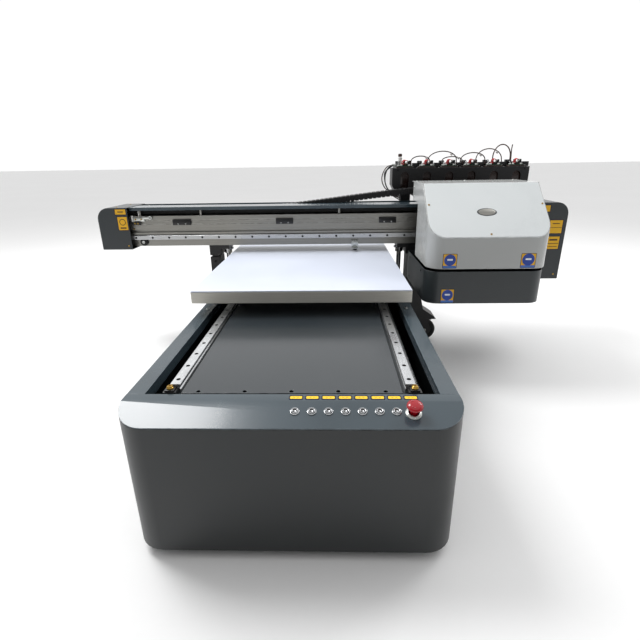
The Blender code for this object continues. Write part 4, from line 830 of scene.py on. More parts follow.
# Rail end stops, deck screws, foot nuts, mains inlet, vent lips. A box is low, high, rounded edge, slot.
railStop = {"x": 0.2345, "y": 0.0978, "sides": 28,
            "boxes": [((-0.013, 0.0890, 0.2905), (0.013, 0.1066, 0.3010), 0.0016, 0),
                      ((-0.0095, 0.0900, 0.3000), (0.0095, 0.1060, 0.3046), 0.0014, 0)],
            "knob": [(0, 0.3040), (0.0066, 0.3040), (0.0066, 0.3072), (0.0056, 0.3082), (0.0056, 0.3098),
                     (0.0046, 0.3106), (0.0024, 0.3106), (0.0020, 0.3088), (0, 0.3086)]}
stops = bmesh.new()
for x in (-railStop["x"], railStop["x"]):
    addBoxes(stops, railStop["boxes"], (x, 0, 0))
    addLathe(stops, railStop["knob"], (x, railStop["y"], 0), segments=railStop["sides"], slot=1)
makePiece("rail_end_stops", stops, ["mouldedBlack", "yellowBrass"], "base")

deck = {"z": 0.3007, "side": 0.2945, "rows": (0.582, 1.010, 1.330, 1.690), "rear": 1.765,
        "rearPlaces": (-0.24, -0.12, 0.0, 0.12, 0.24), "head": (0.0048, 0.0016)}
deckScrews = [((side * deck["side"], y, deck["z"]), (0, 0, 1)) for side in (-1, 1) for y in deck["rows"]]
deckScrews += [((x, deck["rear"], deck["z"]), (0, 0, 1)) for x in deck["rearPlaces"]]
addScrews("deck_screws", "base", deckScrews, *deck["head"])
column = {"outer": 0.415, "outerRows": (1.098, 1.142), "outerLevels": (0.318, 0.338), "foot": 0.396,
          "front": 1.080, "footLevels": (0.215, 0.335), "head": (0.0045, 0.0030)}
columnScrews = [((side * column["outer"], y, z), (side, 0, 0)) for side in (-1, 1)
                for y in column["outerRows"]
                for z in column["outerLevels"]]
columnScrews += [((side * column["foot"], column["front"], z), (0, -1, 0)) for side in (-1, 1)
                 for z in column["footLevels"]]
addScrews("column_screws", "base", columnScrews, *column["head"], "blackOxideSteel")
footNut = {"x": 0.250, "rows": (0.120, 1.680), "sharp": 20,
           "section": [(0.0062, -0.0090), (0.0112, -0.0090), (0.0118, -0.0084), (0.0118, -0.0020),
                       (0.0112, -0.0014), (0.0062, -0.0014)]}
feet = bmesh.new()
for x in (-footNut["x"], footNut["x"]):
    for y in footNut["rows"]:
        addLathe(feet, footNut["section"], (x, y, 0), segments=6, ring=True)
makePiece("foot_lock_nuts", feet, "zincPlate", "base", (), footNut["sharp"])
mains = {"boxes": [((-0.3172, 1.300, 0.075), (-0.3141, 1.352, 0.125), 0.0012, 0),  # flange
                   ((-0.3190, 1.306, 0.081), (-0.3160, 1.346, 0.107), 0.0010, 0),  # socket
                   ((-0.3196, 1.311, 0.085), (-0.3186, 1.341, 0.103), 0.0005, 1),  # socket well
                   ((-0.3200, 1.314, 0.1105), (-0.3160, 1.338, 0.1220), 0.0012, 3)],  # rocker
         "pin": ((-0.3204, 1.3250, 0.0925), (-0.3190, 1.3270, 0.0985), 0.0003, 2),
         "pins": (-0.008, 0.0, 0.008)}
inlet = bmesh.new()
addBoxes(inlet, mains["boxes"])
for dy in mains["pins"]:
    addBoxes(inlet, [mains["pin"]], (0, dy, 0))
makePiece("power_inlet", inlet, ["mouldedBlack", "holeShade", "zincPlate", "mouldedRed"], "base")
ventFrames = bmesh.new()
for side in (-1, 1):
    for i in range(sideVent["count"]):
        y = sideVent["first"] + sideVent["pitch"] * i
        for dy in (-sideVent["lipOffset"], sideVent["lipOffset"]):
            addPlate(ventFrames, (side * sideVent["lipX"], y + dy, sideVent["z"]), (0, side, 0), (0, 0, 1),
                     *sideVent["lip"], sideVent["lipCorner"])
makePiece("vent_lips", ventFrames, "deepSlateCoat", "base")
print("base details made")

# Beam: clips, posts under the cover, limit switch, bumper, height probe, lift nuts.
clip = {"spans": ((-0.544, -0.473), (-0.1395, -0.0734), (0.2586, 0.3238)), "front": 1.0602, "back": 1.0687,
        "low": 0.4838, "high": 0.5054, "edge": 0.0012, "recessInset": 0.006, "recessFront": 1.0592,
        "recessBack": 1.0606, "recessLow": 0.4935, "recessHigh": 0.5030, "recessEdge": 0.0005,
        "screwShares": (0.30, 0.72), "screwZ": 0.4885, "head": (0.0028, 0.0012)}
clips = bmesh.new()
clipScrews = []
for left, right in clip["spans"]:
    addBox(clips, (left, clip["front"], clip["low"]), (right, clip["back"], clip["high"]), clip["edge"], 0)
    addBox(clips, (left + clip["recessInset"], clip["recessFront"], clip["recessLow"]),
           (right - clip["recessInset"], clip["recessBack"], clip["recessHigh"]), clip["recessEdge"], 1)
    clipScrews += [((left + (right - left) * t, clip["front"], clip["screwZ"]), (0, -1, 0))
                   for t in clip["screwShares"]]
makePiece("beam_clips", clips, ["mouldedBlack", "holeShade"], "beam")
addScrews("beam_clip_screws", "beam", clipScrews, *clip["head"])
post = {"places": (-0.674, -0.434, 0.105, 0.640),
        "boxes": [((-0.0035, 1.0745, 0.5190), (0.0035, 1.0765, 0.5494), 0.0004, 0),
                  ((-0.0035, 1.0745, 0.5190), (0.0035, 1.0865, 0.5208), 0.0004, 0)]}
posts = bmesh.new()
for x in post["places"]:
    addBoxes(posts, post["boxes"], (x, 0, 0))
makePiece("cover_posts", posts, "clearAnodised", "beam")

limitSwitch = {"boxes": [((-0.700, 1.0640, 0.4990), (-0.655, 1.0686, 0.5150), 0.0008, 0),
                         ((-0.660, 1.0620, 0.5080), (-0.632, 1.0640, 0.5170), 0.0007, 0),
                         ((-0.697, 1.0560, 0.4860), (-0.672, 1.0686, 0.4985), 0.0008, 1),
                         ((-0.704, 1.0600, 0.4990), (-0.698, 1.0700, 0.5210), 0.0006, 2)],
               "roller": [(0.0032, -0.0030), (0.0068, -0.0030), (0.0074, -0.0020), (0.0074, 0.0010),
                          (0.0068, 0.0020),
                          (0.0032, 0.0020)], "rollerAt": (-0.6300, 1.0622, 0.5125), "rollerSides": 24,
               "tie": [(0, 0.5190), (0.0014, 0.5190), (0.0014, 0.5380), (0, 0.5385)],
               "tieAt": (-0.676, 1.0665, 0), "tieSides": 12, "head": (0.0032, 0.0018),
               "screws": [(-0.690, 1.0640, 0.507), (-0.668, 1.0640, 0.507), (-0.690, 1.0560, 0.4925),
                          (-0.679, 1.0560, 0.4925), (-0.703, 1.0687, 0.470)]}
limit = bmesh.new()
addBoxes(limit, limitSwitch["boxes"])
addLathe(limit, limitSwitch["roller"], limitSwitch["rollerAt"], (0, 1, 0), limitSwitch["rollerSides"],
         ring=True)
addLathe(limit, limitSwitch["tie"], limitSwitch["tieAt"], segments=limitSwitch["tieSides"], slot=2)
makePiece("limit_switch", limit, ["zincPlate", "mouldedBlack", "paleNylon"], "beam")
addScrews("beam_end_screws", "beam", [(at, (0, -1, 0)) for at in limitSwitch["screws"]], *limitSwitch["head"],
          "yellowBrass")

buffer = {"at": (-0.672, 1.0758, 0.4180), "sides": 36, "boltSides": 24,
          "rubber": [(0, 0.0), (0.0150, 0.0), (0.0158, 0.0010), (0.0158, 0.0050), (0.0140, 0.0085),
                     (0.0112, 0.0105), (0.0075, 0.0110), (0.0072, 0.0085), (0, 0.0085)],
          "bolt": [(0, 0.0080), (0.0058, 0.0080), (0.0058, 0.0120), (0.0050, 0.0130), (0.0030, 0.0130),
                   (0.0028, 0.0110), (0, 0.0108)]}
bumper = bmesh.new()
addLathe(bumper, buffer["rubber"], buffer["at"], (0, -1, 0), buffer["sides"])
addLathe(bumper, buffer["bolt"], buffer["at"], (0, -1, 0), buffer["boltSides"], 1)
makePiece("beam_end_bumper", bumper, ["tyreRubber", "zincPlate"], "beam")
heightProbe = {"boxes": [((0.154, 1.0700, 0.3860), (0.180, 1.0756, 0.4180), 0.0008, 0),
                         ((0.156, 1.0510, 0.3870), (0.178, 1.0706, 0.3900), 0.0007, 0),
                         ((0.159, 1.0510, 0.3800), (0.175, 1.0620, 0.3872), 0.0010, 1)],
               "tip": [(0, 0.3764), (0.0016, 0.3764), (0.0030, 0.3776), (0.0030, 0.3804), (0, 0.3804)],
               "tipAt": (0.167, 1.0565, 0), "tipSides": 20}
probe = bmesh.new()
addBoxes(probe, heightProbe["boxes"])
addLathe(probe, heightProbe["tip"], heightProbe["tipAt"], segments=heightProbe["tipSides"])
makePiece("height_probe", probe, ["zincPlate", "mouldedBlack"], "beam")
liftNut = {"sides": 36, "section": [(0.0106, 0.3846), (0.0106, 0.3630), (0.0146, 0.3630), (0.0152, 0.3638),
                                    (0.0152, 0.3786), (0.0215, 0.3790), (0.0215, 0.3846)]}
nuts = bmesh.new()
for x in (-liftScrew["x"], liftScrew["x"]):
    addLathe(nuts, liftNut["section"], (x, liftScrew["y"], 0), segments=liftNut["sides"], ring=True)
makePiece("lift_nuts", nuts, "turnedSteel", "beam")
coverScrew = {"places": (-0.66, -0.36, -0.06, 0.24), "y": 1.133, "z": 0.552, "head": (0.0036, 0.0014)}
addScrews("beam_cover_screws", "beam", [((x, coverScrew["y"], coverScrew["z"]), (0, 0, 1))
                                        for x in coverScrew["places"]], *coverScrew["head"])
endScrew = {"head": (0.0036, 0.0012), "front": [(-0.7235, 1.045, 0.4075), (0.945, 1.045, 0.280)],
            "left": [(-0.829, 1.075, 0.410), (-0.829, 1.190, 0.410)],
            "right": [(0.963, 1.075, 0.285), (0.963, 1.190, 0.285), (0.963, 1.130, 0.480)],
            "top": [(-0.760, 1.070, 0.5535), (0.860, 1.070, 0.5535), (0.860, 1.195, 0.5535),
                    (-0.760, 1.195, 0.5535)]}
endFacing = {"front": (0, -1, 0), "left": (-1, 0, 0), "right": (1, 0, 0), "top": (0, 0, 1)}
addScrews("end_cover_screws", "beam", [(at, way) for side, way in endFacing.items() for at in endScrew[side]],
          *endScrew["head"], "yellowBrass")

# Plain coloured plates stand where the machine carries notices; they bear no signs.
notice = {"front": 1.045, "gap": 0.00004, "border": 0.0022, "thick": 0.00030, "corner": 0.0016,
          "faceThick": 0.00042,
          "faceCorner": 0.0010, "barLift": 0.00034, "barThick": 0.00014, "barCorner": 0.0006,
          "barEdge": 0.00004,
          # left, right, low, high, and bars as low and high shares of the height, share of the width
          "plates": [
              (-0.7590, -0.7135, 0.5265, 0.5500, [(0.42, 0.58, 0.52)]),
              (-0.7540, -0.7125, 0.4670, 0.5215, [(0.14, 0.24, 0.55)]),
              (0.8980, 0.9500, 0.4370, 0.4900, [(0.70, 0.76, 0.5), (0.44, 0.47, 0.86)]),
              (0.8980, 0.9480, 0.3770, 0.4290, [(0.66, 0.78, 0.6), (0.44, 0.48, 0.86), (0.20, 0.24, 0.7)]),
              (0.8700, 0.8950, 0.5180, 0.5450, [])],
          "disc": (-0.7333, 1.045, 0.4995), "discSides": 24, "discLow": 0.0003,
          "discs": [(0.0125, 0.00050, 2), (0.0098, 0.00058, 0)]}  # radius, rise, slot


def addNotice(bm, x0, x1, z0, z1, bars):
    y, border = notice["front"], notice["border"]
    centre = ((x0 + x1) / 2, y + notice["gap"], (z0 + z1) / 2)
    addPlate(bm, centre, *faceFront, x1 - x0, z1 - z0, notice["thick"], notice["corner"], 1)
    addPlate(bm, centre, *faceFront, x1 - x0 - 2 * border, z1 - z0 - 2 * border, notice["faceThick"],
             notice["faceCorner"])
    for low, high, reach in bars:
        z = z0 + (z1 - z0) * (low + high) / 2
        addPlate(bm, (centre[0], y - notice["barLift"], z), *faceFront, (x1 - x0) * reach,
                 (z1 - z0) * (high - low), notice["barThick"], notice["barCorner"], 2, notice["barEdge"])


notices = bmesh.new()
for row in notice["plates"]:
    addNotice(notices, *row)
for radius, rise, slot in notice["discs"]:
    addDisc(notices, notice["disc"], radius, notice["discLow"], rise, notice["discSides"], slot)
makePiece("beam_notices", notices, ["yellowVinyl", "navyVinyl", "brownInk"], "beam")
print("beam details made")

# Capping station.
station = {"left": 0.376, "right": 0.7530, "rows": (0.800, 1.010), "levels": (0.288, 0.360),
           "head": (0.0030, 0.0012)}
stationScrews = [((station[side], y, z), (way, 0, 0)) for side, way in (("left", -1), ("right", 1))
                 for y in station["rows"] for z in station["levels"]]
addScrews("station_screws", "beam", stationScrews, *station["head"], "blackOxideSteel")
headPlaces = (0.478, 0.531, 0.584)
capCup = {"y": 0.9175, "z": 0.3734, "size": (0.036, 0.120, 0.0014), "corner": 0.006, "edge": 0.0005,
          "padZ": 0.37475, "pad": (0.026, 0.108, 0.0003), "padCorner": 0.004}
cups = bmesh.new()
for x in headPlaces:
    addPlate(cups, (x, capCup["y"], capCup["z"]), *faceUp, *capCup["size"], capCup["corner"], 0,
             capCup["edge"])
    addPlate(cups, (x, capCup["y"], capCup["padZ"]), *faceUp, *capCup["pad"], capCup["padCorner"], 1)
makePiece("cap_cups", cups, ["tyreRubber", "paleNylon"], "cap_tray")

# Safety plates: a blue disc with a pale bar on yellow, over a blue band. Shares are of the plate's width
# or height.
safety = {"gap": 0.00004, "thick": 0.00030, "corner": 0.0022, "border": 0.0028, "faceThick": 0.00042,
          "faceCorner": 0.0014, "bandLift": 0.00030, "bandAt": 0.105, "bandInset": 0.0034, "bandHigh": 0.16,
          "bandCorner": 0.0008, "barLift": 0.00050, "barAt": 0.60, "barWide": 0.40, "barHigh": 0.12,
          "barCorner": 0.0024, "signThick": 0.00022, "signEdge": 0.00005, "discAt": 0.57, "discRadius": 0.41,
          "discLow": 0.00032, "discHigh": 0.00058, "discSides": 36,
          "finishes": ["yellowVinyl", "navyVinyl", "blueVinyl", "paperWhite", "paleBlueVinyl"]}


def addSafetyPlate(bm, x0, x1, z0, z1, y):
    width, height = x1 - x0, z1 - z0
    middle = (x0 + x1) / 2
    at = (middle, y + safety["gap"], (z0 + z1) / 2)
    addPlate(bm, at, *faceFront, width, height, safety["thick"], safety["corner"], 1)
    addPlate(bm, at, *faceFront, width - safety["border"], height - safety["border"], safety["faceThick"],
             safety["faceCorner"])
    addPlate(bm, (middle, y - safety["bandLift"], z0 + height * safety["bandAt"]), *faceFront,
             width - safety["bandInset"], height * safety["bandHigh"], safety["signThick"],
             safety["bandCorner"], 4, safety["signEdge"])
    addPlate(bm, (middle, y - safety["barLift"], z0 + height * safety["barAt"]), *faceFront,
             width * safety["barWide"], height * safety["barHigh"], safety["signThick"], safety["barCorner"],
             3, safety["signEdge"])
    addDisc(bm, (middle, y, z0 + height * safety["discAt"]), width * safety["discRadius"], safety["discLow"],
            safety["discHigh"], safety["discSides"], 2)


plate = bmesh.new()
addSafetyPlate(plate, 0.4270, 0.4700, 0.2730, 0.3190, 0.712)
makePiece("station_plate", plate, safety["finishes"], "beam")
print("station details made")

# Ink tanks behind the beam. Sections are radius and height over the tank's top.
tanks = {"first": 0.374, "pitch": 0.0895, "count": 6, "half": 0.034, "front": 1.2305, "rear": 1.2915,
         "floor": 0.5884, "top": 0.6850, "edge": 0.004, "edgeSteps": 3,
         "cap": [(0, 0.0), (0.0130, 0.0), (0.0136, 0.001), (0.0136, 0.009), (0.0120, 0.010), (0.0110, 0.012),
                 (0.0055, 0.013), (0.0050, 0.021), (0, 0.021)], "capSides": 28,
         "stirrer": [(0, 0.0), (0.0085, 0.0), (0.0085, 0.019), (0.0070, 0.0215), (0, 0.0215)],
         "stirrerAt": (0.024, 0.012), "stirrerSides": 24,
         "boxes": [((-0.033, 0.008, 0.0), (-0.016, 0.024, 0.020), 0.0012, 0),
                   ((0.0350, -0.012, -0.006), (0.0540, 0.020, 0.012), 0.0012, 0)],
         "nipple": [(0, 0.0), (0.0026, 0.0), (0.0026, 0.010), (0.0036, 0.0105), (0.0036, 0.014), (0, 0.014)],
         "nippleAt": (0.008, -0.008, 0.010), "nippleLean": (0.5, -0.3, 0.8), "nippleSides": 16,
         "plug": ((-0.0034, 0.002, 0.0), (0.0034, 0.011, 0.0058), 0.0006, 0),
         "plugPlaces": ((-0.026, 0.0), (-0.014, 0.002), (0.018, 0.001)),
         "board": ((-0.030, 0.001, 0.0), (0.030, 0.020, 0.0018), 0.0003, 0)}
tankWire = {"count": 3, "redRadius": 0.0013, "blackRadius": 0.0012, "step": 0.003, "sides": 6}


def raised(section, z):
    return [(radius, z + height) for radius, height in section]


bodies, caps, plugs, boards, wires, darkWires = bmesh.new(), bmesh.new(), bmesh.new(), bmesh.new(), [], []
middleY = (tanks["front"] + tanks["rear"]) / 2
front, z = tanks["front"], tanks["top"]
for i in range(tanks["count"]):
    x = tanks["first"] + i * tanks["pitch"]
    addBox(bodies, (x - tanks["half"], front, tanks["floor"]), (x + tanks["half"], tanks["rear"], z),
           tanks["edge"], 0, tanks["edgeSteps"])
    addLathe(caps, raised(tanks["cap"], z), (x, middleY, 0), segments=tanks["capSides"])
    dx, dy = tanks["stirrerAt"]
    addLathe(caps, raised(tanks["stirrer"], z), (x + dx, middleY + dy, 0), segments=tanks["stirrerSides"])
    addBoxes(caps, tanks["boxes"], (x, middleY, z))
    addLathe(caps, tanks["nipple"], moved((x, middleY, z), tanks["nippleAt"]), tanks["nippleLean"],
             tanks["nippleSides"], 1)
    for dx, dz in tanks["plugPlaces"]:
        addBoxes(plugs, [tanks["plug"]], (x + dx, front, z + dz))
    addBoxes(boards, [tanks["board"]], (x, front, z))
    for k in range(tankWire["count"]):
        x0 = x - 0.014 + 0.0040 * k
        wires.append([(x0, front + 0.006, z + 0.006), (x0 + 0.002, front + 0.005, z + 0.016 + 0.002 * k),
                      (x0 + 0.010, front + 0.012, z + 0.024 - 0.001 * k),
                      (x + 0.022, middleY + 0.010, z + 0.019)])
        x1 = x - 0.026 + 0.0036 * k
        darkWires.append([(x1, front + 0.008, z + 0.006), (x1 - 0.004, front + 0.014, z + 0.014 + 0.003 * k),
                          (x1 - 0.002, middleY + 0.012, z + 0.016)])
makePiece("ink_tank_bodies", bodies, "smokedTank", "beam", ("ink_tanks",))
makePiece("ink_tank_caps", caps, ["mouldedBlack", "zincPlate"], "beam")
makePiece("ink_tank_plugs", plugs, "paleNylon", "beam")
makePiece("ink_tank_boards", boards, "boardGreen", "beam")
addTubes("tank_red_wires", "beam", wires, tankWire["redRadius"], "redWireSheath", tankWire["step"],
         tankWire["sides"])
addTubes("tank_black_wires", "beam", darkWires, tankWire["blackRadius"], "mouldedBlack", tankWire["step"],
         tankWire["sides"])

inkLines = {"radius": 0.0021, "bridgeRadius": 0.0024, "cableRadius": 0.0024, "steps": 12, "dip": 0.690,
            "spring": 0.7020, "offset": 0.004, "swell": 0.004, "fullness": 0.9,
            # left, right, rise, lean
            "arches": [(0.403, 0.4795, 0.0200, 0.000), (0.470, 0.5875, 0.0370, -0.006),
                       (0.5290, 0.6120, 0.0160, 0.006), (0.6030, 0.7030, 0.0300, -0.004),
                       (0.6660, 0.7700, 0.0440, 0.006)]}
tubePaths = []
for left, right, rise, lean in inkLines["arches"]:
    path = [(left, middleY, inkLines["dip"])]
    for i in range(inkLines["steps"] + 1):
        t = i / inkLines["steps"]
        bow = math.sin(math.pi * t)
        path.append(((left + right) / 2 - (right - left) / 2 * math.cos(math.pi * t),
                     middleY + inkLines["offset"] + lean * bow,
                     inkLines["spring"] + rise * abs(bow) ** inkLines["fullness"]
                     + inkLines["swell"] * t * (1 - t)))
    path.append((right, middleY, inkLines["dip"]))
    tubePaths.append(path)
tubePaths.append([(0.8060, middleY, 0.692), (0.8052, middleY, 0.720), (0.8040, middleY, 0.742),
                  (0.8052, middleY - 0.001, 0.7615)])
tubePaths.append([(0.3300, 1.2600, 0.690), (0.3060, 1.2600, 0.684), (0.2890, 1.2560, 0.660),
                  (0.2850, 1.2520, 0.632),
                  (0.2960, 1.2480, 0.604), (0.3200, 1.2440, 0.584), (0.3440, 1.2400, 0.570),
                  (0.3625, 1.2400, 0.562)])
addTubes("ink_lines", "beam", tubePaths, inkLines["radius"], "inkLine")
bridge = {"tank": 4, "half": 0.0350, "foot": 0.7000, "spring": 0.7150, "rise": 0.0470, "steps": 14,
          "sides": 12}
last = tanks["first"] + bridge["tank"] * tanks["pitch"]
arch = [(last, middleY, bridge["foot"])]
for i in range(bridge["steps"] + 1):
    angle = math.pi * i / bridge["steps"]
    arch.append((last + bridge["half"] - bridge["half"] * math.cos(angle), middleY,
                 bridge["spring"] + bridge["rise"] * math.sin(angle)))
arch.append((last + 2 * bridge["half"], middleY, bridge["foot"]))
addTubes("ink_tube_arch", "beam", [arch], inkLines["bridgeRadius"], "inkLine", sides=bridge["sides"],
         replaced=("ink_tube",))
blackLoops = [[(0.3280, 1.2520 + 0.006 * k, 0.688), (0.3100 - 0.004 * k, 1.2520 + 0.006 * k,
                                                     0.680 - 0.006 * k),
               (0.2990 - 0.002 * k, 1.2520, 0.655), (0.2980, 1.2500, 0.625), (0.3080, 1.2480, 0.600),
               (0.3300, 1.2440, 0.580 - 0.004 * k), (0.3625, 1.2420, 0.568 - 0.008 * k)] for k in range(3)]
addTubes("side_cables", "beam", blackLoops, inkLines["cableRadius"], "mouldedBlack")
joint = {"along": 0.80, "leanShare": 0.6, "riseShare": 0.70, "axis": (0.75, 0, -0.66), "sides": 16,
         "section": [(0, -0.005), (0.0030, -0.005), (0.0036, -0.004), (0.0036, 0.004), (0.0030, 0.005),
                     (0, 0.005)]}
collars = bmesh.new()
for left, right, rise, lean in inkLines["arches"]:
    at = (left + (right - left) * joint["along"], middleY + inkLines["offset"] + lean * joint["leanShare"],
          inkLines["spring"] + rise * joint["riseShare"])
    addLathe(collars, joint["section"], at, joint["axis"], joint["sides"])
makePiece("ink_line_joints", collars, "paleNylon", "beam")
pressure = {"boxes": [((0.330, 1.2500, 0.6800), (0.378, 1.2740, 0.6862), 0.0012, 0),
                      ((0.372, 1.2480, 0.6862), (0.379, 1.2560, 0.6960), 0.0008, 3)],
            "at": (0.357, 1.262, 0), "bodySides": 32, "knobSides": 28, "pipeSides": 20,
            "body": [(0, 0.6862), (0.0090, 0.6862), (0.0096, 0.6880), (0.0096, 0.6925), (0.0084, 0.6940),
                     (0.0084, 0.7140), (0.0094, 0.7150), (0.0094, 0.7180), (0.0060, 0.7200), (0, 0.7200)],
            "knob": [(0.0030, 0.7210), (0.0062, 0.7210), (0.0082, 0.7235), (0.0082, 0.7310), (0.0062, 0.7335),
                     (0.0030, 0.7335)],
            "pipe": [(0, -0.014), (0.0040, -0.014), (0.0046, -0.012), (0.0046, 0.012), (0.0040, 0.014),
                     (0, 0.014)],
            "pipeAt": (0.338, 1.262, 0.6905)}
valve = bmesh.new()
addBoxes(valve, pressure["boxes"])
addLathe(valve, pressure["body"], pressure["at"], segments=pressure["bodySides"], slot=1)
addLathe(valve, pressure["knob"], pressure["at"], segments=pressure["knobSides"], slot=2, ring=True)
addLathe(valve, pressure["pipe"], pressure["pipeAt"], (1, 0, 0), pressure["pipeSides"])
makePiece("pressure_valve", valve, ["zincPlate", "paleNylon", "inkLine", "yellowBrass"], "beam")
tankBox = {"front": 1.222, "pairs": (0.380, 0.760), "spread": 0.012, "pairZ": 0.596, "ends": (0.345, 0.851),
           "endZ": 0.6700, "head": (0.0030, 0.0014)}
boxScrews = [((x + dx, tankBox["front"], tankBox["pairZ"]), (0, -1, 0)) for x in tankBox["pairs"]
             for dx in (-tankBox["spread"], tankBox["spread"])]
boxScrews += [((x, tankBox["front"], tankBox["endZ"]), (0, -1, 0)) for x in tankBox["ends"]]
addScrews("tank_box_screws", "beam", boxScrews, *tankBox["head"], "blackOxideSteel")
print("ink system made")

# Carriage: screws, nameplate, safety plates, print heads, lamp window.
lid = {"foot": (0.705, 0.486), "head": (0.865, 0.636), "screwHead": (0.0032, 0.0014),
       "screws": [(0.3880, 0.585), (0.7450, 0.585), (0.5660, 0.045)]}  # x, share of the way up the lid
run, climb = lid["head"][0] - lid["foot"][0], lid["head"][1] - lid["foot"][1]
lidOut = Vector((0, -climb, run)).normalized()
lidUp = Vector((0, run, climb)).normalized()


def onLid(x, share):
    return Vector((x, lid["foot"][0] + run * share, lid["foot"][1] + climb * share))


addScrews("lid_screws", "carriage", [(onLid(*place), lidOut) for place in lid["screws"]], *lid["screwHead"],
          "yellowBrass")
hood = {"top": (1.048, 0.636), "topPlaces": (0.392, 0.566, 0.741), "left": 0.378, "right": 0.755,
        "sidePlaces": ((1.018, 0.585), (1.018, 0.618), (0.915, 0.400), (0.915, 0.545)),
        "head": (0.0030, 0.0013)}
hoodScrews = [((x, *hood["top"]), (0, 0, 1)) for x in hood["topPlaces"]]
hoodScrews += [((hood[side], y, z), (way, 0, 0)) for side, way in (("left", -1), ("right", 1))
               for y, z in hood["sidePlaces"]]
addScrews("hood_screws", "carriage", hoodScrews, *hood["head"])
nameplate = {"x": 0.5660, "share": 0.44, "half": 0.031, "halfHigh": 0.0155, "sides": 48, "step": 0.0002,
             "edge": 0.0005, "layers": [(1.0, 0.0006, 0), (0.86, 0.0009, 1)]}  # share of the size, rise, slot
badge = bmesh.new()  # a plain oval without a mark
for reach, rise, slot in nameplate["layers"]:
    rings = []
    for inset, h in ((0.0, 0.0), (0.0, rise - nameplate["step"]), (nameplate["edge"], rise)):
        wide, high = nameplate["half"] * reach - inset, nameplate["halfHigh"] * reach - inset
        turns = [math.tau * i / nameplate["sides"] for i in range(nameplate["sides"])]
        rings.append([onLid(nameplate["x"], nameplate["share"]) + Vector((wide * math.cos(t), 0, 0))
                      + lidUp * (high * math.sin(t)) + lidOut * h for t in turns])
    addLoft(badge, rings, slot)
makePiece("lid_nameplate", badge, ["slatePowderCoat", "clearAnodised"], "carriage")
plates = bmesh.new()
addSafetyPlate(plates, 0.4230, 0.4670, 0.3885, 0.4345, 0.705)
addSafetyPlate(plates, 0.6630, 0.7090, 0.3885, 0.4345, 0.705)
makePiece("carriage_plates", plates, safety["finishes"], "carriage")
nozzle = {"box": ((-0.018, 0.860, 0.3905), (0.018, 0.975, 0.3926), 0.0006, 0), "rows": (-0.006, 0.006),
          "y": 0.9175, "z": 0.3906, "row": (0.090, 0.0014, 0.0002), "corner": 0.0005, "edge": 0.00005}
jets = bmesh.new()
for x in headPlaces:
    addBoxes(jets, [nozzle["box"]], (x, 0, 0))
    for row in nozzle["rows"]:
        addPlate(jets, (x + row, nozzle["y"], nozzle["z"]), (0, 1, 0), (1, 0, 0), *nozzle["row"],
                 nozzle["corner"], 1, nozzle["edge"])
makePiece("print_head_plates", jets, ["polishedSteel", "holeShade"], "carriage")
lampGlass = bmesh.new()
addBox(lampGlass, (0.662, 0.860, 0.3926), (0.718, 1.025, 0.3944))
makePiece("uv_lamp_window", lampGlass, "lensGlass", "carriage")

# Cable chain: links along one fixed line that climbs from the beam to the carriage.
chain = {"pitch": 0.0175, "height": 0.0236, "front": 1.1585, "rear": 1.2045, "floor": 0.5214, "rise": 0.5808,
         "tail": -0.220, "start": -0.160, "flat": 0.393, "end": 0.470, "tailMargin": 0.009,
         "endMargin": 0.010, "middle": 0.012, "steps": 24, "even": 0.75, "bowed": 0.25}
linkShape = {"wall": 0.0036, "wallX": (-0.0070, 0.0076), "tongue": (0.0022, 0.0050),
             "tongueX": (0.0040, 0.0125),
             "tongueHigh": 0.72, "edge": 0.0011, "bar": 0.0028, "barX": (-0.0052, 0.0044), "barEdge": 0.0008}
link = bmesh.new()
half = chain["height"] / 2
wide = (chain["rear"] - chain["front"]) / 2
sideRows = [((0.0, linkShape["wall"]), linkShape["wallX"], half),
            (linkShape["tongue"], linkShape["tongueX"], half * linkShape["tongueHigh"])]
for sign in (-1, 1):
    for depths, (x0, x1), high in sideRows:
        y0, y1 = sorted(sign * (wide - depth) for depth in depths)
        addBox(link, (x0, y0, -high), (x1, y1, high), linkShape["edge"], 0, 1)
for z in (-half, half - linkShape["bar"]):
    addBox(link, (linkShape["barX"][0], -wide, z), (linkShape["barX"][1], wide, z + linkShape["bar"]),
           linkShape["barEdge"], 0, 1)
linkPart = bpy.data.objects.new("chainLink", bpy.data.meshes.new("chainLink"))
link.to_mesh(linkPart.data)
link.free()
bpy.context.scene.collection.objects.link(linkPart)
middle = (chain["front"] + chain["rear"]) / 2
route = [(chain["tail"] + chain["tailMargin"], middle, chain["floor"] + chain["middle"])]
for i in range(chain["steps"] + 1):
    t = i / chain["steps"]
    ease = t * t * (3 - 2 * t)
    climbed = (chain["rise"] - chain["floor"]) * (chain["even"] * t + chain["bowed"] * ease)
    route.append((chain["start"] + (chain["flat"] - chain["start"]) * t, middle,
                  chain["floor"] + chain["middle"] + climbed))
route.append((chain["end"] - chain["endMargin"], middle, chain["rise"] + chain["middle"]))
chainPiece = grow("cable_chain", linkTree, pathMesh("cable_chain", [route]),
                  {"Link": linkPart, "Pitch": chain["pitch"], "Finish": finishes["mouldedBlack"]})
bpy.data.objects.remove(linkPart)
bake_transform(chainPiece)
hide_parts("drag_chain")
print("carriage details made")

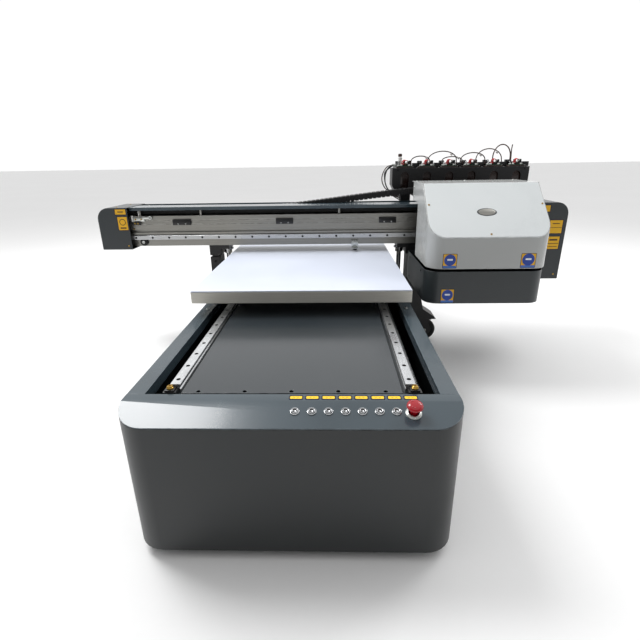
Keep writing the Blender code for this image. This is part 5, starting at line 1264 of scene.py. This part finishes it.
# Casters.
wheel = {"x": 0.473, "y": 1.120, "z": 0.0225, "radius": 0.045, "half": 0.011, "bore": 0.0042, "tread": 0.034,
         # inset from the tread, inset from the side
         "shoulders": [(0.0035, 0.0), (0.0012, 0.0012), (0.0, 0.0040)],
         "hub": [(0.0105, 0.0), (0.0115, 0.003), (0.0290, 0.0042), (0.0320, 0.0008), (0.0342, 0.0008)],
         # hub: radius, inset from the side
         "sides": 56, "sharp": 45, "boltAt": 0.0155, "boltHead": (0.0056, 0.0034)}
r, h = wheel["radius"], wheel["half"]
tread = [(wheel["tread"], 0.0)] + [(r - inset, drop) for inset, drop in wheel["shoulders"]]
hub = [(wheel["bore"], 0.0)] + wheel["hub"]
for side, sign in (("left", -1), ("right", 1)):
    x, y, z = sign * wheel["x"], wheel["y"], wheel["z"]
    tyre = bmesh.new()
    for slot, half in enumerate((tread, hub)):
        section = [(radius, drop - h) for radius, drop in half] + [(radius, h - drop) for radius,
                                                                   drop in half[::-1]]
        addLathe(tyre, section, (x, y, z), (0, 1, 0), wheel["sides"], slot, ring=True)
    makePiece(f"caster_wheel_{side}_tyre", tyre, ["tyreRubber", "mouldedBlack"], f"wheel_{side}",
              (f"caster_wheel_{side}",), wheel["sharp"])
    bolts = [((x, y + way * wheel["boltAt"], z), (0, way, 0)) for way in (-1, 1)]
    addScrews(f"caster_axle_{side}", f"fork_{side}", bolts, *wheel["boltHead"])
print("casters made")

# Floor, light and camera.
studio = {"half": 60, "front": -0.7, "back": 0.25, "frontLight": 0.16, "backLight": 1.03, "topLow": 0.35,
          "topHigh": 0.85, "topLight": 0.85}
floorMesh = bpy.data.meshes.new("studioFloor")
corners = [(x * studio["half"], y * studio["half"], cadLow.z) for x,
           y in ((-1, -1), (1, -1), (1, 1), (-1, 1))]
floorMesh.from_pydata(corners, [], [(0, 1, 2, 3)])
floor = bpy.data.objects.new("studioFloor", floorMesh)
bpy.context.scene.collection.objects.link(floor)
makeFinish("paintedStudioFloor", "f1f1f1", "f4f4f4", "f8f8f8", 0.02, (0.75, 0.85), patch=1.5, bump=0.0)
floorMesh.materials.append(finishes["paintedStudioFloor"])

world = bpy.data.worlds.new("studio")
bpy.context.scene.world = world
world.use_nodes = True
sky = world.node_tree  # white overhead and behind, dimmer in front, as in a studio open to one side
facing = addNode(sky, "ShaderNodeSeparateXYZ", {},
                 {0: addNode(sky, "ShaderNodeTexCoord").outputs["Generated"]}).outputs
depth = addNode(sky, "ShaderNodeMapRange", {"interpolation_type": "SMOOTHSTEP"},
                {"Value": facing["Y"], "From Min": studio["front"], "From Max": studio["back"],
                 "To Min": studio["frontLight"], "To Max": studio["backLight"]}).outputs[0]
top = addNode(sky, "ShaderNodeMapRange", {"interpolation_type": "SMOOTHSTEP"},
              {"Value": facing["Z"], "From Min": studio["topLow"], "From Max": studio["topHigh"],
               "To Min": 0.0, "To Max": studio["topLight"]}).outputs[0]
both = addNode(sky, "ShaderNodeMath", {"operation": "MAXIMUM"}, {0: depth, 1: top}).outputs[0]
seen = addNode(sky, "ShaderNodeLightPath").outputs["Is Camera Ray"]  # the backdrop itself is even
shown = addNode(sky, "ShaderNodeMix", {"data_type": "FLOAT"},
                {0: seen, 2: both, 3: studio["backLight"]}).outputs[0]
sky.links.new(shown, sky.nodes["Background"].inputs["Strength"])
sky.nodes["Background"].inputs["Color"].default_value = (1.0, 1.0, 1.0, 1.0)


def addSoftbox(name, place, target, size, power):
    light = bpy.data.lights.new(name, "AREA")
    light.shape = "RECTANGLE"
    light.size, light.size_y = size
    light.energy = power
    box = bpy.data.objects.new(name, light)
    box.location = place
    box.rotation_euler = (Vector(target) - Vector(place)).to_track_quat("-Z", "Y").to_euler()
    bpy.context.scene.collection.objects.link(box)


addSoftbox("leftOverhead", (-1.80, 0.30, 3.0), (-0.5, 0.0, 0.3), (1.1, 1.7), 80)
addSoftbox("rightOverhead", (2.4, 1.2, 2.6), (0.2, 0.0, 0.4), (1.2, 1.2), 30)
bpy.context.scene.view_settings.view_transform = "Standard"

view = {"lens": 24.107, "sensor": 36.0,  # millimetres
        "place": ((0.9995, 0.0047, 0.0306, 0.0131), (0.0270, 0.3489, -0.9368, -1.5221),
                  (-0.0151, 0.9372, 0.3486, 0.7349), (0, 0, 0, 1))}
camera = bpy.data.objects.new("camera", bpy.data.cameras.new("camera"))
camera.data.lens = view["lens"]
camera.data.sensor_width = view["sensor"]
camera.matrix_world = Matrix(view["place"])
bpy.context.scene.collection.objects.link(camera)
bpy.context.scene.camera = camera
print("stage set")
